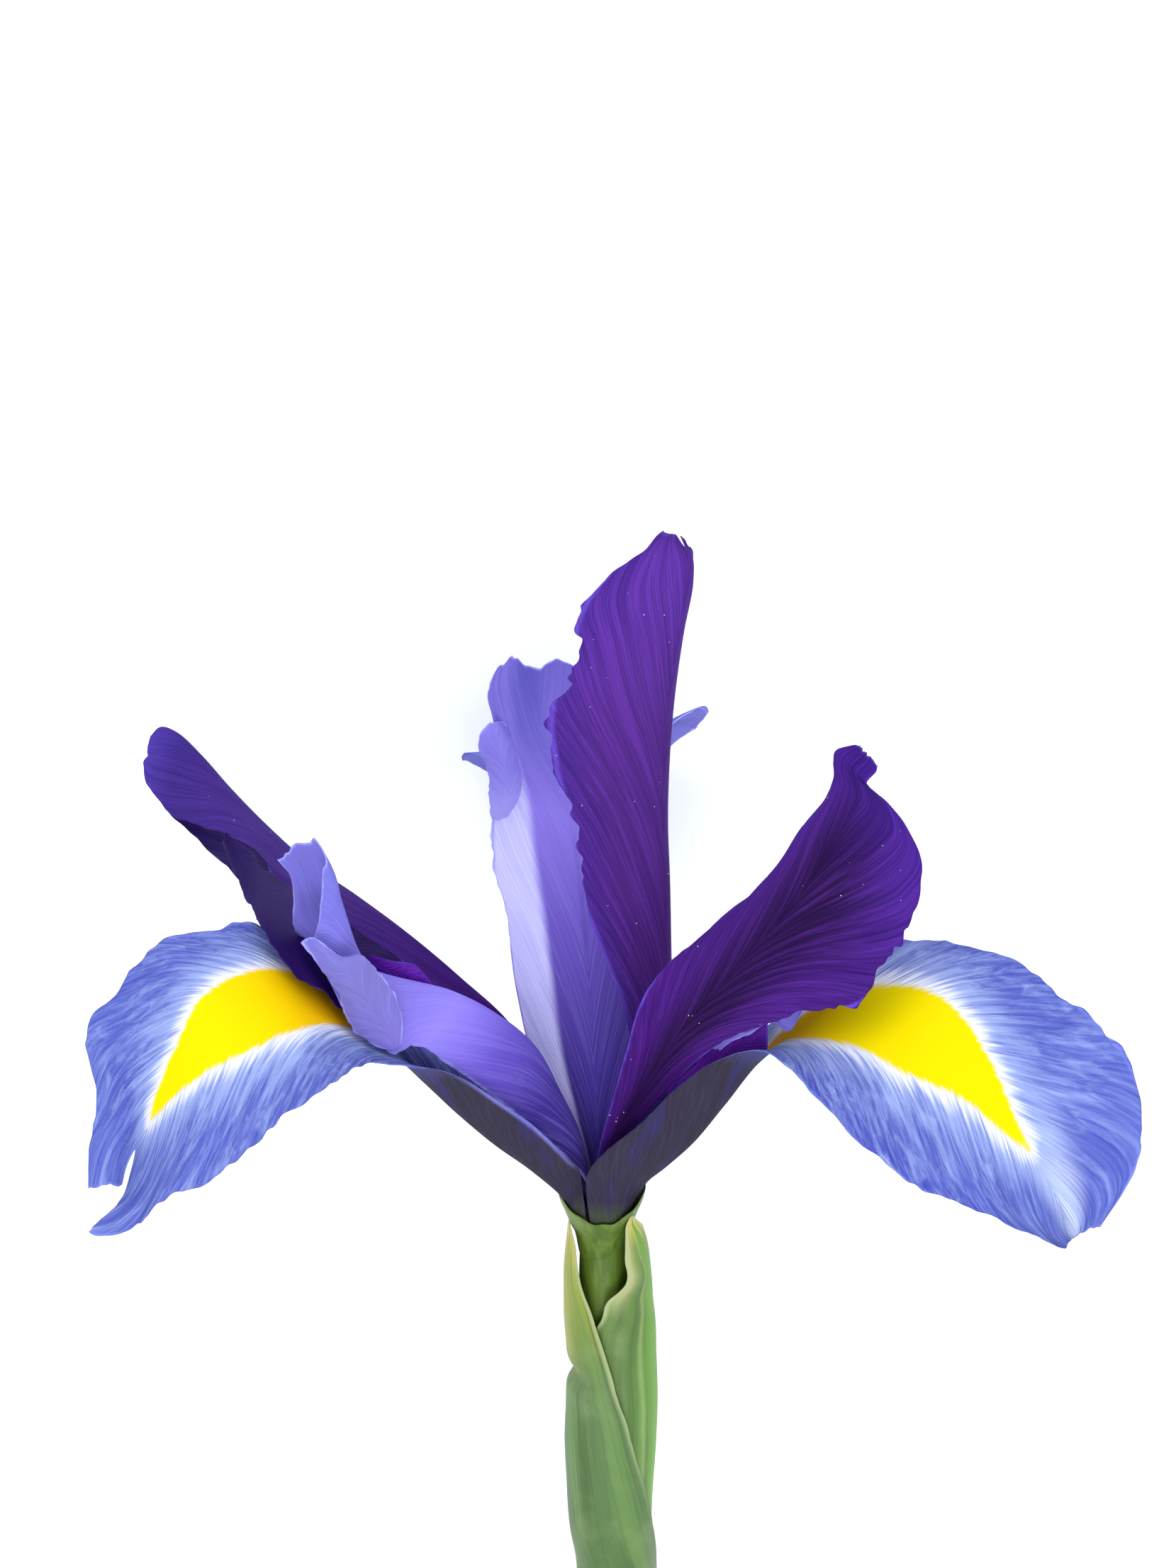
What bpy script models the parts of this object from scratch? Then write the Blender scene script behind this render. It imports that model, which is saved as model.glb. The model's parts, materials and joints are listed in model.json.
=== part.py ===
"""A Dutch iris flower on its cut stem, laid down on a flat surface.

The flower is worked out in its own frame, in millimetres: x to the right, y to the back and
z along the stem towards the flower, with the rim of the perianth tube at the origin. The three
falls spread at the left front, the right front and the back, and the three standards stand
between them. Guide points of the petals are written as (x, y, height), where the height is the
one seen from the front when the flower nods forward by NOD degrees. One empty then lays the
whole flower down, on its back fall and on the cut end of the stem.
"""

import math

import bpy
import numpy as np

MM = 0.001
NOD = math.radians(30)

# Driving sizes, in millimetres.
STEM_LENGTH = 165.0
STEM_RADIUS = 3.3
FALL_THICKNESS = 0.8
STANDARD_THICKNESS = 0.7
STYLE_THICKNESS = 0.6
BRACT_THICKNESS = 0.5
RIM_HEIGHT = -0.8
CLAW_HEIGHT = -0.1
REST_DEPTH = 47.6
REST_HEIGHT = 29.0

# Rings in which the claws stand on the rim: radius in millimetres.
FALL_RING = 3.4
STANDARD_RING = 2.3
STYLE_RING = 1.0

# Azimuths, in degrees from +x towards +y.
LEFT_FALL, RIGHT_FALL, BACK_FALL = 210, 330, 90
LEFT_STANDARD, UPRIGHT_STANDARD, FRONT_STANDARD = 150, 30, 270

# Each row crosses a petal: one margin, the midrib and the other margin, from claw to tip.
LEFT_FALL_ROWS = [
    [(-2.2, -4.2, 4.8), (-4.2, -2.4, 2.4), (-4.4, 1.5, 6.4)],
    [(-3.4, -6.0, 6.4), (-7.6, -4.4, 5.4), (-7.2, 0.6, 9.4)],
    [(-7.2, -8.8, 10.3), (-12.0, -6.9, 8.6), (-10.6, -0.9, 12.8)],
    [(-11.0, -11.6, 13.1), (-16.0, -9.2, 12.0), (-15.0, -3.0, 16.6)],
    [(-16.2, -15.1, 16.4), (-20.0, -11.5, 15.8), (-20.8, -6.0, 20.5)],
    [(-21.0, -18.5, 17.6), (-24.0, -13.9, 19.5), (-27.0, -7.5, 25.5)],
    [(-25.5, -21.5, 17.6), (-28.0, -16.2, 22.0), (-32.5, -7.5, 30.5)],
    [(-28.5, -26.0, 16.6), (-32.0, -18.5, 24.0), (-37.0, -9.0, 33.4)],
    [(-31.8, -30.0, 14.6), (-36.0, -20.8, 25.0), (-41.5, -10.4, 34.3)],
    [(-36.0, -33.2, 11.3), (-40.0, -23.0, 24.3), (-46.0, -12.6, 33.2)],
    [(-40.5, -35.6, 7.5), (-44.0, -25.4, 22.3), (-51.0, -14.8, 32.0)],
    [(-45.5, -36.0, 3.9), (-47.5, -27.4, 18.5), (-55.5, -17.2, 26.8)],
    [(-49.8, -35.0, 1.4), (-50.3, -28.9, 13.3), (-58.6, -19.6, 21.4)],
    [(-53.0, -34.0, -0.8), (-52.3, -30.0, 8.6), (-57.6, -22.6, 14.2)],
    [(-56.2, -33.4, -1.4), (-53.6, -30.8, 5.4), (-58.5, -25.5, 8.3)],
    [(-58.6, -33.0, -1.1), (-54.2, -31.2, 3.4), (-58.0, -28.8, 3.0)],
]
RIGHT_FALL_ROWS = [
    [(-1.5, -4.6, 4.6), (4.4, -2.6, 3.5), (5.4, 0.8, 6.8)],
    [(0.6, -5.8, 7.5), (7.2, -4.2, 5.8), (7.8, 0.2, 10.4)],
    [(4.4, -7.6, 10.6), (10.2, -5.9, 8.4), (9.6, -0.5, 13.4)],
    [(8.7, -9.9, 14.9), (14.0, -8.1, 13.0), (13.6, -2.4, 17.6)],
    [(13.8, -12.6, 18.4), (18.0, -10.4, 18.0), (18.8, -5.0, 21.8)],
    [(19.0, -16.7, 19.3), (22.5, -13.0, 21.0), (25.5, -6.8, 27.5)],
    [(24.3, -24.0, 14.8), (30.0, -17.3, 21.5), (35.0, -8.5, 32.6)],
    [(30.5, -29.5, 8.2), (36.5, -21.0, 20.3), (43.0, -10.5, 31.8)],
    [(36.5, -32.5, 3.8), (42.3, -24.4, 16.5), (50.0, -12.8, 28.4)],
    [(42.5, -34.0, 1.0), (47.0, -27.1, 11.0), (56.2, -16.2, 23.2)],
    [(47.0, -33.8, -0.8), (50.3, -29.0, 6.0), (60.6, -19.5, 17.6)],
    [(50.3, -33.0, -1.8), (52.3, -30.2, 2.2), (62.4, -23.0, 10.4)],
    [(52.3, -32.3, -2.9), (53.4, -30.8, -0.6), (60.4, -27.0, 4.6)],
    [(53.4, -31.8, -3.2), (54.1, -31.0, -2.0), (56.8, -29.6, -0.6)],
]
BACK_FALL_ROWS = [
    [(-3.4, 5.0, 5.4), (0.0, 6.0, 5.6), (3.4, 5.0, 5.4)],
    [(-4.4, 8.5, 12.6), (-0.2, 10.2, 15.0), (4.0, 8.5, 12.6)],
    [(-5.2, 12.5, 21.0), (-0.6, 15.5, 24.6), (4.2, 12.5, 21.0)],
    [(-6.0, 18.5, 31.0), (-1.0, 21.5, 35.0), (4.4, 18.5, 31.2)],
    [(-7.6, 25.6, 39.8), (-1.4, 27.5, 43.6), (4.6, 25.6, 39.8)],
    [(-12.2, 31.0, 49.6), (-1.8, 32.6, 50.2), (8.6, 30.0, 51.6)],
    [(-15.8, 36.5, 54.6), (-2.0, 37.5, 54.0), (11.8, 36.0, 57.8)],
    [(-16.6, 41.5, 53.8), (-2.2, 42.4, 55.0), (12.6, 41.0, 57.2)],
    [(-14.0, 45.5, 51.6), (-2.4, 45.8, 53.2), (10.4, 45.2, 54.0)],
    [(-10.6, 47.0, 48.8), (-2.5, 47.2, 49.6), (6.6, 47.0, 49.8)],
    [(-8.4, 47.4, 45.4), (-2.5, 47.6, 45.6), (3.6, 47.4, 45.8)],
    [(-5.4, 47.2, 42.4), (-2.5, 47.2, 41.8), (0.4, 47.2, 42.4)],
]
LEFT_STANDARD_ROWS = [
    [(-3.0, 0.9, 5.8), (-3.7, 2.4, 6.4), (-3.3, 3.6, 5.6)],
    [(-6.6, 2.2, 13.0), (-6.8, 4.1, 15.6), (-5.9, 6.0, 12.4)],
    [(-10.8, 4.0, 18.6), (-10.2, 6.1, 21.8), (-9.0, 8.6, 16.6)],
    [(-17.2, 6.0, 24.6), (-16.0, 9.4, 27.3), (-14.0, 12.8, 19.6)],
    [(-24.0, 7.6, 30.2), (-22.0, 12.8, 32.3), (-19.4, 16.8, 22.2)],
    [(-31.0, 8.6, 35.0), (-28.0, 16.0, 36.7), (-25.2, 20.4, 24.6)],
    [(-37.2, 10.6, 38.8), (-33.5, 19.3, 40.4), (-31.0, 24.4, 26.3)],
    [(-40.5, 13.0, 42.4), (-38.5, 22.2, 44.8), (-36.2, 28.2, 29.6)],
    [(-44.0, 15.6, 44.2), (-42.5, 24.5, 49.0), (-38.6, 31.0, 33.6)],
    [(-48.0, 19.2, 45.5), (-46.0, 26.5, 53.0), (-42.0, 32.2, 38.5)],
    [(-51.0, 22.6, 48.0), (-49.0, 28.2, 55.8), (-46.2, 32.6, 43.0)],
    [(-52.4, 25.2, 50.3), (-50.8, 29.2, 56.4), (-50.0, 31.6, 46.6)],
    [(-52.7, 27.2, 52.6), (-51.9, 28.8, 55.4), (-51.8, 30.2, 50.6)],
]
UPRIGHT_STANDARD_ROWS = [
    [(2.1, 3.0, 6.0), (3.3, 2.2, 6.0), (3.9, 1.2, 6.0)],
    [(3.6, 4.8, 12.5), (5.2, 4.1, 12.5), (6.2, 3.0, 12.5)],
    [(3.8, 4.6, 18.5), (6.8, 5.0, 18.5), (8.0, 4.4, 18.5)],
    [(2.8, 3.6, 24.0), (7.4, 5.6, 24.0), (8.2, 7.2, 24.0)],
    [(0.5, 2.6, 30.0), (7.5, 6.0, 30.0), (8.0, 9.4, 30.5)],
    [(-2.3, 2.0, 38.0), (7.4, 6.2, 38.0), (7.2, 11.6, 39.5)],
    [(-3.3, 1.6, 45.5), (7.2, 6.2, 45.5), (6.4, 13.0, 47.5)],
    [(-5.2, 1.2, 53.0), (7.3, 6.0, 53.0), (6.6, 13.2, 55.5)],
    [(-5.4, 1.0, 59.0), (7.8, 5.6, 60.0), (7.4, 12.4, 62.5)],
    [(-3.4, 1.2, 65.0), (8.8, 5.2, 67.0), (8.6, 10.4, 68.5)],
    [(-1.2, 1.6, 71.0), (9.9, 4.8, 73.0), (9.8, 8.0, 73.6)],
    [(2.8, 2.4, 75.2), (9.9, 4.6, 76.0), (10.3, 7.0, 76.4)],
    [(5.8, 3.0, 78.0), (8.8, 4.0, 78.0), (10.0, 6.0, 77.2)],
]
FRONT_STANDARD_ROWS = [
    [(-0.8, -2.9, 4.0), (0.3, -3.2, 4.0), (1.4, -3.0, 4.0)],
    [(0.1, -3.4, 8.6), (1.7, -4.2, 9.0), (3.1, -4.3, 8.8)],
    [(1.6, -4.0, 14.0), (4.4, -6.3, 14.0), (6.8, -6.7, 13.3)],
    [(3.0, -5.2, 19.0), (7.3, -9.2, 18.8), (10.2, -9.4, 17.4)],
    [(4.6, -6.6, 24.3), (10.4, -12.2, 23.0), (14.0, -13.8, 20.2)],
    [(8.0, -8.5, 29.8), (14.0, -15.0, 27.0), (18.5, -17.4, 22.0)],
    [(12.0, -10.0, 33.4), (17.5, -17.2, 31.0), (23.2, -20.0, 23.2)],
    [(16.0, -11.5, 36.8), (21.0, -18.6, 35.0), (28.0, -21.0, 24.4)],
    [(20.0, -13.0, 40.5), (24.0, -19.4, 39.0), (32.4, -20.6, 26.2)],
    [(23.0, -14.0, 44.8), (26.5, -19.6, 43.0), (34.9, -19.4, 30.2)],
    [(26.0, -15.0, 48.2), (28.5, -19.2, 46.5), (36.3, -18.8, 35.0)],
    [(27.0, -15.5, 51.4), (29.8, -18.6, 49.3), (37.1, -18.2, 40.2)],
    [(27.5, -16.0, 54.0), (30.2, -17.8, 51.6), (35.4, -17.6, 45.2)],
    [(29.6, -16.5, 54.4), (31.0, -17.0, 52.6), (32.4, -17.0, 49.0)],
]

# A style arm rises from the rim and arches out over its fall: reach and height of its ridge,
# reach and height of its margins, and the half width between them.
LEFT_ARM_STATIONS = [
    (1.7, 6.0, 2.3, 5.6, 1.1),
    (2.9, 12.0, 5.6, 10.4, 2.1),
    (5.2, 17.7, 9.8, 15.4, 2.4),
    (8.6, 25.0, 14.6, 20.9, 2.8),
    (13.9, 31.1, 20.6, 27.2, 3.2),
    (19.6, 35.7, 26.0, 32.0, 3.3),
]
RIGHT_ARM_STATIONS = [
    (1.7, 6.0, 2.3, 5.6, 1.1),
    (2.9, 12.0, 5.0, 11.2, 1.6),
    (5.2, 18.2, 8.6, 16.8, 1.8),
    (8.6, 25.6, 13.0, 22.8, 2.1),
    (13.9, 32.2, 18.8, 30.0, 2.6),
    (19.6, 36.8, 24.6, 34.4, 2.8),
]
BACK_ARM_STATIONS = [
    (1.7, 6.0, 2.2, 5.7, 1.3),
    (3.0, 12.0, 4.4, 11.2, 3.0),
    (5.4, 17.7, 7.4, 16.0, 4.6),
    (8.6, 25.0, 11.0, 22.6, 6.4),
    (13.9, 31.1, 16.2, 29.2, 8.0),
    (19.6, 35.7, 21.2, 33.8, 9.0),
]
# The crest at the end of an arm has two lobes: five points a row, from lobe to lobe.
LEFT_CREST_ROWS = [
    [(-25.0, -18.3, 19.6), (-25.2, -16.8, 25.4), (-26.2, -15.0, 28.6), (-28.2, -13.2, 29.0), (-29.4, -11.6, 28.0)],
    [(-28.8, -19.4, 23.6), (-28.0, -17.4, 28.4), (-28.6, -15.6, 31.0), (-31.2, -13.4, 32.8), (-33.2, -12.2, 31.4)],
    [(-32.4, -19.8, 30.0), (-31.0, -18.6, 31.8), (-29.6, -16.2, 33.6), (-32.0, -13.4, 37.6), (-35.2, -12.4, 36.2)],
    [(-33.8, -19.8, 32.0), (-32.4, -18.8, 33.0), (-30.4, -16.4, 35.0), (-33.2, -13.2, 43.2), (-36.6, -12.8, 41.4)],
]
RIGHT_CREST_ROWS = [
    [(21.8, -14.4, 21.6), (22.4, -14.2, 25.6), (23.0, -12.9, 28.0), (25.0, -11.0, 29.0), (26.6, -9.2, 28.4)],
    [(24.4, -15.0, 26.0), (24.2, -14.2, 29.6), (24.8, -12.8, 31.0), (27.4, -11.2, 32.6), (29.8, -10.0, 31.2)],
    [(26.8, -15.0, 30.4), (26.0, -14.4, 32.6), (26.4, -12.8, 33.2), (29.0, -11.4, 36.4), (31.6, -10.6, 35.4)],
    [(28.0, -14.8, 33.8), (27.2, -14.2, 35.4), (27.6, -12.8, 35.8), (29.8, -11.4, 39.4), (32.2, -11.0, 38.0)],
]
BACK_CREST_ROWS = [
    [(-12.7, 25.4, 46.6), (-8.2, 24.4, 48.0), (-3.6, 23.8, 47.4), (1.0, 24.2, 47.6), (5.0, 25.2, 45.6)],
    [(-13.9, 26.4, 52.6), (-10.2, 25.2, 53.2), (-5.8, 24.6, 52.4), (-1.2, 24.8, 52.8), (3.4, 26.0, 51.0)],
    [(-13.4, 26.8, 57.6), (-10.8, 25.2, 59.6), (-7.0, 24.4, 57.8), (-2.6, 25.0, 58.8), (2.2, 26.4, 56.4)],
    [(-12.6, 26.6, 61.4), (-10.6, 25.2, 64.8), (-7.8, 24.6, 62.2), (-4.0, 25.2, 64.0), (0.6, 26.4, 60.4)],
]

FILAMENT_PATH = [(2.1, -0.1), (2.6, 3.0), (3.9, 7.5), (6.7, 13.6), (9.9, 19.2), (12.75, 23.4)]
ANTHER_PATH = [(13.0, 23.7), (15.0, 26.0), (17.4, 28.4), (19.8, 30.4), (21.6, 31.6)]
ANTHER_RADII = [0.55, 1.0, 1.05, 0.95, 0.5]

# Height, centre in x, radius, and the span in azimuth that a bract covers, from base to tip.
OUTER_BRACT = [
    (-76.0, 2.1, 4.6, 215, 170),
    (-62.0, 2.1, 4.6, 215, 172),
    (-48.0, 2.0, 4.7, 214, 168),
    (-38.0, 1.7, 4.9, 205, 140),
    (-30.0, 1.4, 5.1, 200, 104),
    (-22.0, 1.0, 5.0, 196, 76),
    (-14.0, 0.7, 5.0, 192, 54),
    (-7.0, 0.5, 4.8, 186, 32),
    (-2.8, 0.3, 4.6, 182, 15),
    (-1.2, 0.2, 4.5, 180, 4),
]
INNER_BRACT = [
    (-76.0, 2.1, 3.75, 20, 168),
    (-62.0, 2.1, 3.75, 18, 166),
    (-48.0, 2.0, 3.8, 14, 160),
    (-36.0, 1.9, 3.9, 8, 140),
    (-28.0, 2.2, 4.0, 4, 112),
    (-20.0, 2.3, 4.0, 0, 86),
    (-13.0, 1.9, 4.3, -2, 72),
    (-8.0, 1.5, 4.3, -4, 50),
    (-3.6, 0.9, 4.5, -4, 28),
    (0.0, 0.3, 4.5, -4, 6),
]
OVARY_PROFILE = [(-16, 2.3), (-13, 2.7), (-8, 2.8), (-4.5, 2.7), (-2.6, 2.8), (-1.6, 3.2), (RIM_HEIGHT, 3.8)]
STEM_SWAY = [(-17.0, 1.2), (-48.0, 2.0), (-78.0, 2.1), (-120.0, 1.2), (-STEM_LENGTH, 0.0)]


def flower_point(x, y, height):
    """The point in the flower's frame that shows at this height when the flower nods."""
    return (x, y, (height - y * math.sin(NOD)) / math.cos(NOD))


def smooth(knots, points, places):
    """Points at places on a smooth curve through points at knots."""
    knots, points = np.asarray(knots, float), np.asarray(points, float)
    slopes = np.gradient(points, knots, axis=0)
    cells = np.clip(np.searchsorted(knots, places, side="right") - 1, 0, len(knots) - 2)
    span = knots[cells + 1] - knots[cells]
    t = (places - knots[cells]) / span
    shape = (-1,) + (1,) * (points.ndim - 1)
    t, span = t.reshape(shape), span.reshape(shape)
    return (
        (2 * t**3 - 3 * t**2 + 1) * points[cells]
        + (t**3 - 2 * t**2 + t) * span * slopes[cells]
        + (3 * t**2 - 2 * t**3) * points[cells + 1]
        + (t**3 - t**2) * span * slopes[cells + 1]
    )


def five_across(row, fold):
    """A row of three points as five. A fold of 2 is a round arch and 1 is a sharp crease."""
    near, middle, far = (np.array(point, float) for point in row)
    chord, rise = (far - near) / 4, (near + far) / 2 - middle
    return [near, middle - chord + rise * 0.5**fold, middle, middle + chord + rise * 0.5**fold, far]


def claw_rows(azimuth, ring, spans):
    """Two rows of five points where a petal stands on the rim, between two azimuths."""
    rows = []
    for radius, height in ((ring, CLAW_HEIGHT), (ring + 0.45, CLAW_HEIGHT + 2.0)):
        angles = [math.radians(azimuth + spans[0] * (1 - t) + spans[1] * t) for t in (0, 0.25, 0.5, 0.75, 1)]
        rows.append([np.array((radius * math.cos(a), radius * math.sin(a), height)) for a in angles])
    return rows


def sheet(rows, across, along):
    """A grid of points on the smooth surface through the rows."""
    rows = np.array(rows, float)
    steps = np.linalg.norm(np.diff(rows, axis=0), axis=2).mean(axis=1)
    stations = np.concatenate([[0], np.cumsum(steps)]) / steps.sum()
    lengthwise = smooth(stations, rows, np.linspace(0, 1, along))
    crosswise = smooth(np.linspace(-1, 1, rows.shape[1]), lengthwise.swapaxes(0, 1), np.linspace(-1, 1, across))
    return crosswise.swapaxes(0, 1)


def paint(obj, colour, roughness):
    """Gives the object its own plain material."""
    material = bpy.data.materials.new(obj.name)
    material.use_nodes = True
    shader = material.node_tree.nodes["Principled BSDF"]
    shader.inputs["Base Color"].default_value = (*colour, 1)
    shader.inputs["Roughness"].default_value = roughness
    shader.inputs["Metallic"].default_value = 0
    obj.data.materials.append(material)


def sheet_object(name, grid, thickness, colour, parent):
    """A petal, arm or bract: the grid as a mesh, thickened and thinner at its margins."""
    along, across = grid.shape[:2]
    faces = [
        (i * across + j, (i + 1) * across + j, (i + 1) * across + j + 1, i * across + j + 1)
        for i in range(along - 1)
        for j in range(across - 1)
    ]
    mesh = bpy.data.meshes.new(name)
    mesh.from_pydata((grid.reshape(-1, 3) * MM).tolist(), [], faces)
    mesh.shade_smooth()
    obj = bpy.data.objects.new(name, mesh)
    bpy.context.collection.objects.link(obj)
    group = obj.vertex_groups.new(name="flesh")
    for index in range(along * across):
        side = abs(2 * (index % across) / (across - 1) - 1)
        end = min(1, (along - 1 - index // across) / 3)
        group.add([index], (1 - side**2) * end, "REPLACE")
    solid = obj.modifiers.new("Thickness", "SOLIDIFY")
    solid.thickness = thickness * MM
    solid.offset = 0
    solid.vertex_group = group.name
    solid.thickness_vertex_group = 0.6
    paint(obj, colour, 0.6)
    obj.parent = parent
    return obj


def rod_object(name, path, radii, sides, colour, parent):
    """A tube with filled ends along the path, with its own radius at each point."""
    curve = bpy.data.curves.new(name, "CURVE")
    curve.dimensions = "3D"
    curve.bevel_depth = MM
    curve.bevel_resolution = sides // 2 - 2
    curve.use_fill_caps = True
    spline = curve.splines.new("POLY")
    spline.points.add(len(path) - 1)
    for point, place, radius in zip(spline.points, path, radii):
        point.co = (*(np.array(place) * MM), 1)
        point.radius = radius
    obj = bpy.data.objects.new(name, curve)
    bpy.context.collection.objects.link(obj)
    paint(obj, colour, 0.5)
    obj.parent = parent
    return obj


def petal(name, azimuth, ring, spans, drawn_rows, fold, thickness, colour, parent):
    """A fall or a standard, from its claw on the rim to its tip."""
    rows = claw_rows(azimuth, ring, spans)
    for row in drawn_rows:
        rows.append(five_across([flower_point(*point) for point in row], fold))
    return sheet_object(name, sheet(rows, 9, 26), thickness, colour, parent)


def arm_row(azimuth, lean, station, near_side):
    """A row of five points across a style arm; near_side is -1 or 1, the side that comes first."""
    ridge_reach, ridge_height, reach, height, half = station
    out = np.array((math.cos(azimuth), math.sin(azimuth), 0))
    side = np.array((-math.sin(azimuth), math.cos(azimuth), 0)) * near_side
    up = np.array((0, 0, 1.0))
    shift = np.array((lean * ridge_reach, 0, 0))
    margins = [out * reach + up * height + side * half * sign + shift for sign in (1, -1)]
    ridge = out * ridge_reach + up * ridge_height + shift
    return five_across([margins[0], ridge, margins[1]], 1.7)


def style_arm(name, azimuth, near_side, lean, stations, crest_rows, parent):
    """A style arm with its two-lobed crest."""
    angle = math.radians(azimuth)
    rows = claw_rows(azimuth, STYLE_RING, (38 * near_side, -38 * near_side))[:1]
    rows += [arm_row(angle, lean, station, near_side) for station in stations]
    rows += [[flower_point(*point) for point in row] for row in crest_rows]
    return sheet_object(name, sheet(rows, 9, 20), STYLE_THICKNESS, (0.24, 0.17, 0.62), parent)


def stamen(side, azimuth, parent):
    """A filament that stands on the rim and its anther, under the style arm."""
    angle = math.radians(azimuth)
    for part, path, radii, colour in (
        ("filament", FILAMENT_PATH, [0.4] * len(FILAMENT_PATH), (0.55, 0.5, 0.8)),
        ("anther", ANTHER_PATH, ANTHER_RADII, (0.75, 0.65, 0.35)),
    ):
        places = [(reach * math.cos(angle), reach * math.sin(angle), height) for reach, height in path]
        rod_object(f"{part}_{side}", places, radii, 8, colour, parent)


def bract(name, sections, thickness, parent):
    """A sheathing bract: each section is part of a ring round the stem."""
    rows = []
    for height, centre, radius, azimuth, half_span in sections:
        angles = np.radians(azimuth + half_span * np.linspace(-1, 1, 9))
        rows.append([(centre + radius * math.cos(a), radius * math.sin(a), height) for a in angles])
    return sheet_object(name, sheet(rows, 17, 18), thickness, (0.22, 0.33, 0.16), parent)


def stem(parent):
    """The cut stem, with the swollen node that the bracts spring from."""
    heights = np.linspace(STEM_SWAY[-1][0], STEM_SWAY[0][0], 28)
    sway = sorted(STEM_SWAY)
    centres = smooth([place[0] for place in sway], [[place[1]] for place in sway], heights)[:, 0]
    in_sheath = np.clip((heights + 84) / 8, 0, 1)
    radii = STEM_RADIUS * (1 - 0.12 * in_sheath) + 0.7 * np.exp(-(((heights + 81) / 3.5) ** 2))
    path = [(x, 0, z) for x, z in zip(centres, heights)]
    return rod_object("stem", path, radii, 12, (0.2, 0.33, 0.12), parent)


def lay_down(root, objects):
    """Turns the flower onto its back fall and the end of its stem, with its box on the floor."""
    rise = math.atan2(REST_DEPTH - STEM_RADIUS, STEM_LENGTH + REST_HEIGHT)
    root.rotation_euler = (-(math.pi / 2 - rise), 0, 0)
    bpy.context.view_layer.update()
    graph = bpy.context.evaluated_depsgraph_get()
    corners = []
    for obj in objects:
        mesh = obj.evaluated_get(graph).to_mesh()
        corners += [obj.matrix_world @ vertex.co for vertex in mesh.vertices]
    low, high = np.min(corners, axis=0), np.max(corners, axis=0)
    root.location = (-(low[0] + high[0]) / 2, -(low[1] + high[1]) / 2, -low[2])


def main():
    for old in list(bpy.data.objects):
        bpy.data.objects.remove(old)
    root = bpy.data.objects.new("flower", None)
    bpy.context.collection.objects.link(root)

    fall_blue, dark_violet, violet = (0.16, 0.18, 0.66), (0.05, 0.02, 0.16), (0.12, 0.04, 0.4)
    petal("fall_left", LEFT_FALL, FALL_RING, (34, -50), LEFT_FALL_ROWS, 2.0, FALL_THICKNESS, fall_blue, root)
    petal("fall_right", RIGHT_FALL, FALL_RING, (-78, 48), RIGHT_FALL_ROWS, 2.0, FALL_THICKNESS, fall_blue, root)
    petal("fall_back", BACK_FALL, FALL_RING, (50, -50), BACK_FALL_ROWS, 2.0, FALL_THICKNESS, fall_blue, root)
    for name, azimuth, spans, rows, fold, colour in (
        ("standard_left", LEFT_STANDARD, (32, -32), LEFT_STANDARD_ROWS, 1.25, violet),
        ("standard_upright", UPRIGHT_STANDARD, (32, -32), UPRIGHT_STANDARD_ROWS, 1.3, violet),
        ("standard_front", FRONT_STANDARD, (-32, 32), FRONT_STANDARD_ROWS, 1.8, dark_violet),
    ):
        petal(name, azimuth, STANDARD_RING, spans, rows, fold, STANDARD_THICKNESS, colour, root)
    style_arm("style_left", LEFT_FALL, 1, 0.0, LEFT_ARM_STATIONS, LEFT_CREST_ROWS, root)
    style_arm("style_right", RIGHT_FALL, -1, 0.0, RIGHT_ARM_STATIONS, RIGHT_CREST_ROWS, root)
    style_arm("style_back", BACK_FALL, 1, -0.13, BACK_ARM_STATIONS, BACK_CREST_ROWS, root)
    for side, azimuth in (("left", LEFT_FALL), ("right", RIGHT_FALL), ("back", BACK_FALL)):
        stamen(side, azimuth, root)
    bract("bract_outer", OUTER_BRACT, BRACT_THICKNESS, root)
    bract("bract_inner", INNER_BRACT, BRACT_THICKNESS, root)
    ovary_path = [(0.3 + 0.02 * -z, 0, z) for z, _ in OVARY_PROFILE]
    rod_object("ovary", ovary_path, [radius for _, radius in OVARY_PROFILE], 14, (0.2, 0.3, 0.08), root)
    stem(root)
    lay_down(root, [obj for obj in bpy.data.objects if obj.type in {"MESH", "CURVE"}])


main()
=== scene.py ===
"""The looks of a Dutch iris flower on its cut stem, laid down on a pale table.

The flower is shaped in its own frame, in millimetres: x to the right, y to the back and z along
the stem towards the flower, with the rim of the perianth tube at the origin. Guide points of the
petals are written as (x, y, height), where the height is the one seen from the front when the
flower nods forward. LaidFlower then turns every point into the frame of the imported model.
"""

from __future__ import annotations

import json
import logging
import math
from dataclasses import dataclass, field, replace
from enum import Enum

import bpy
import numpy as np
from mathutils import Matrix, Vector

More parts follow.
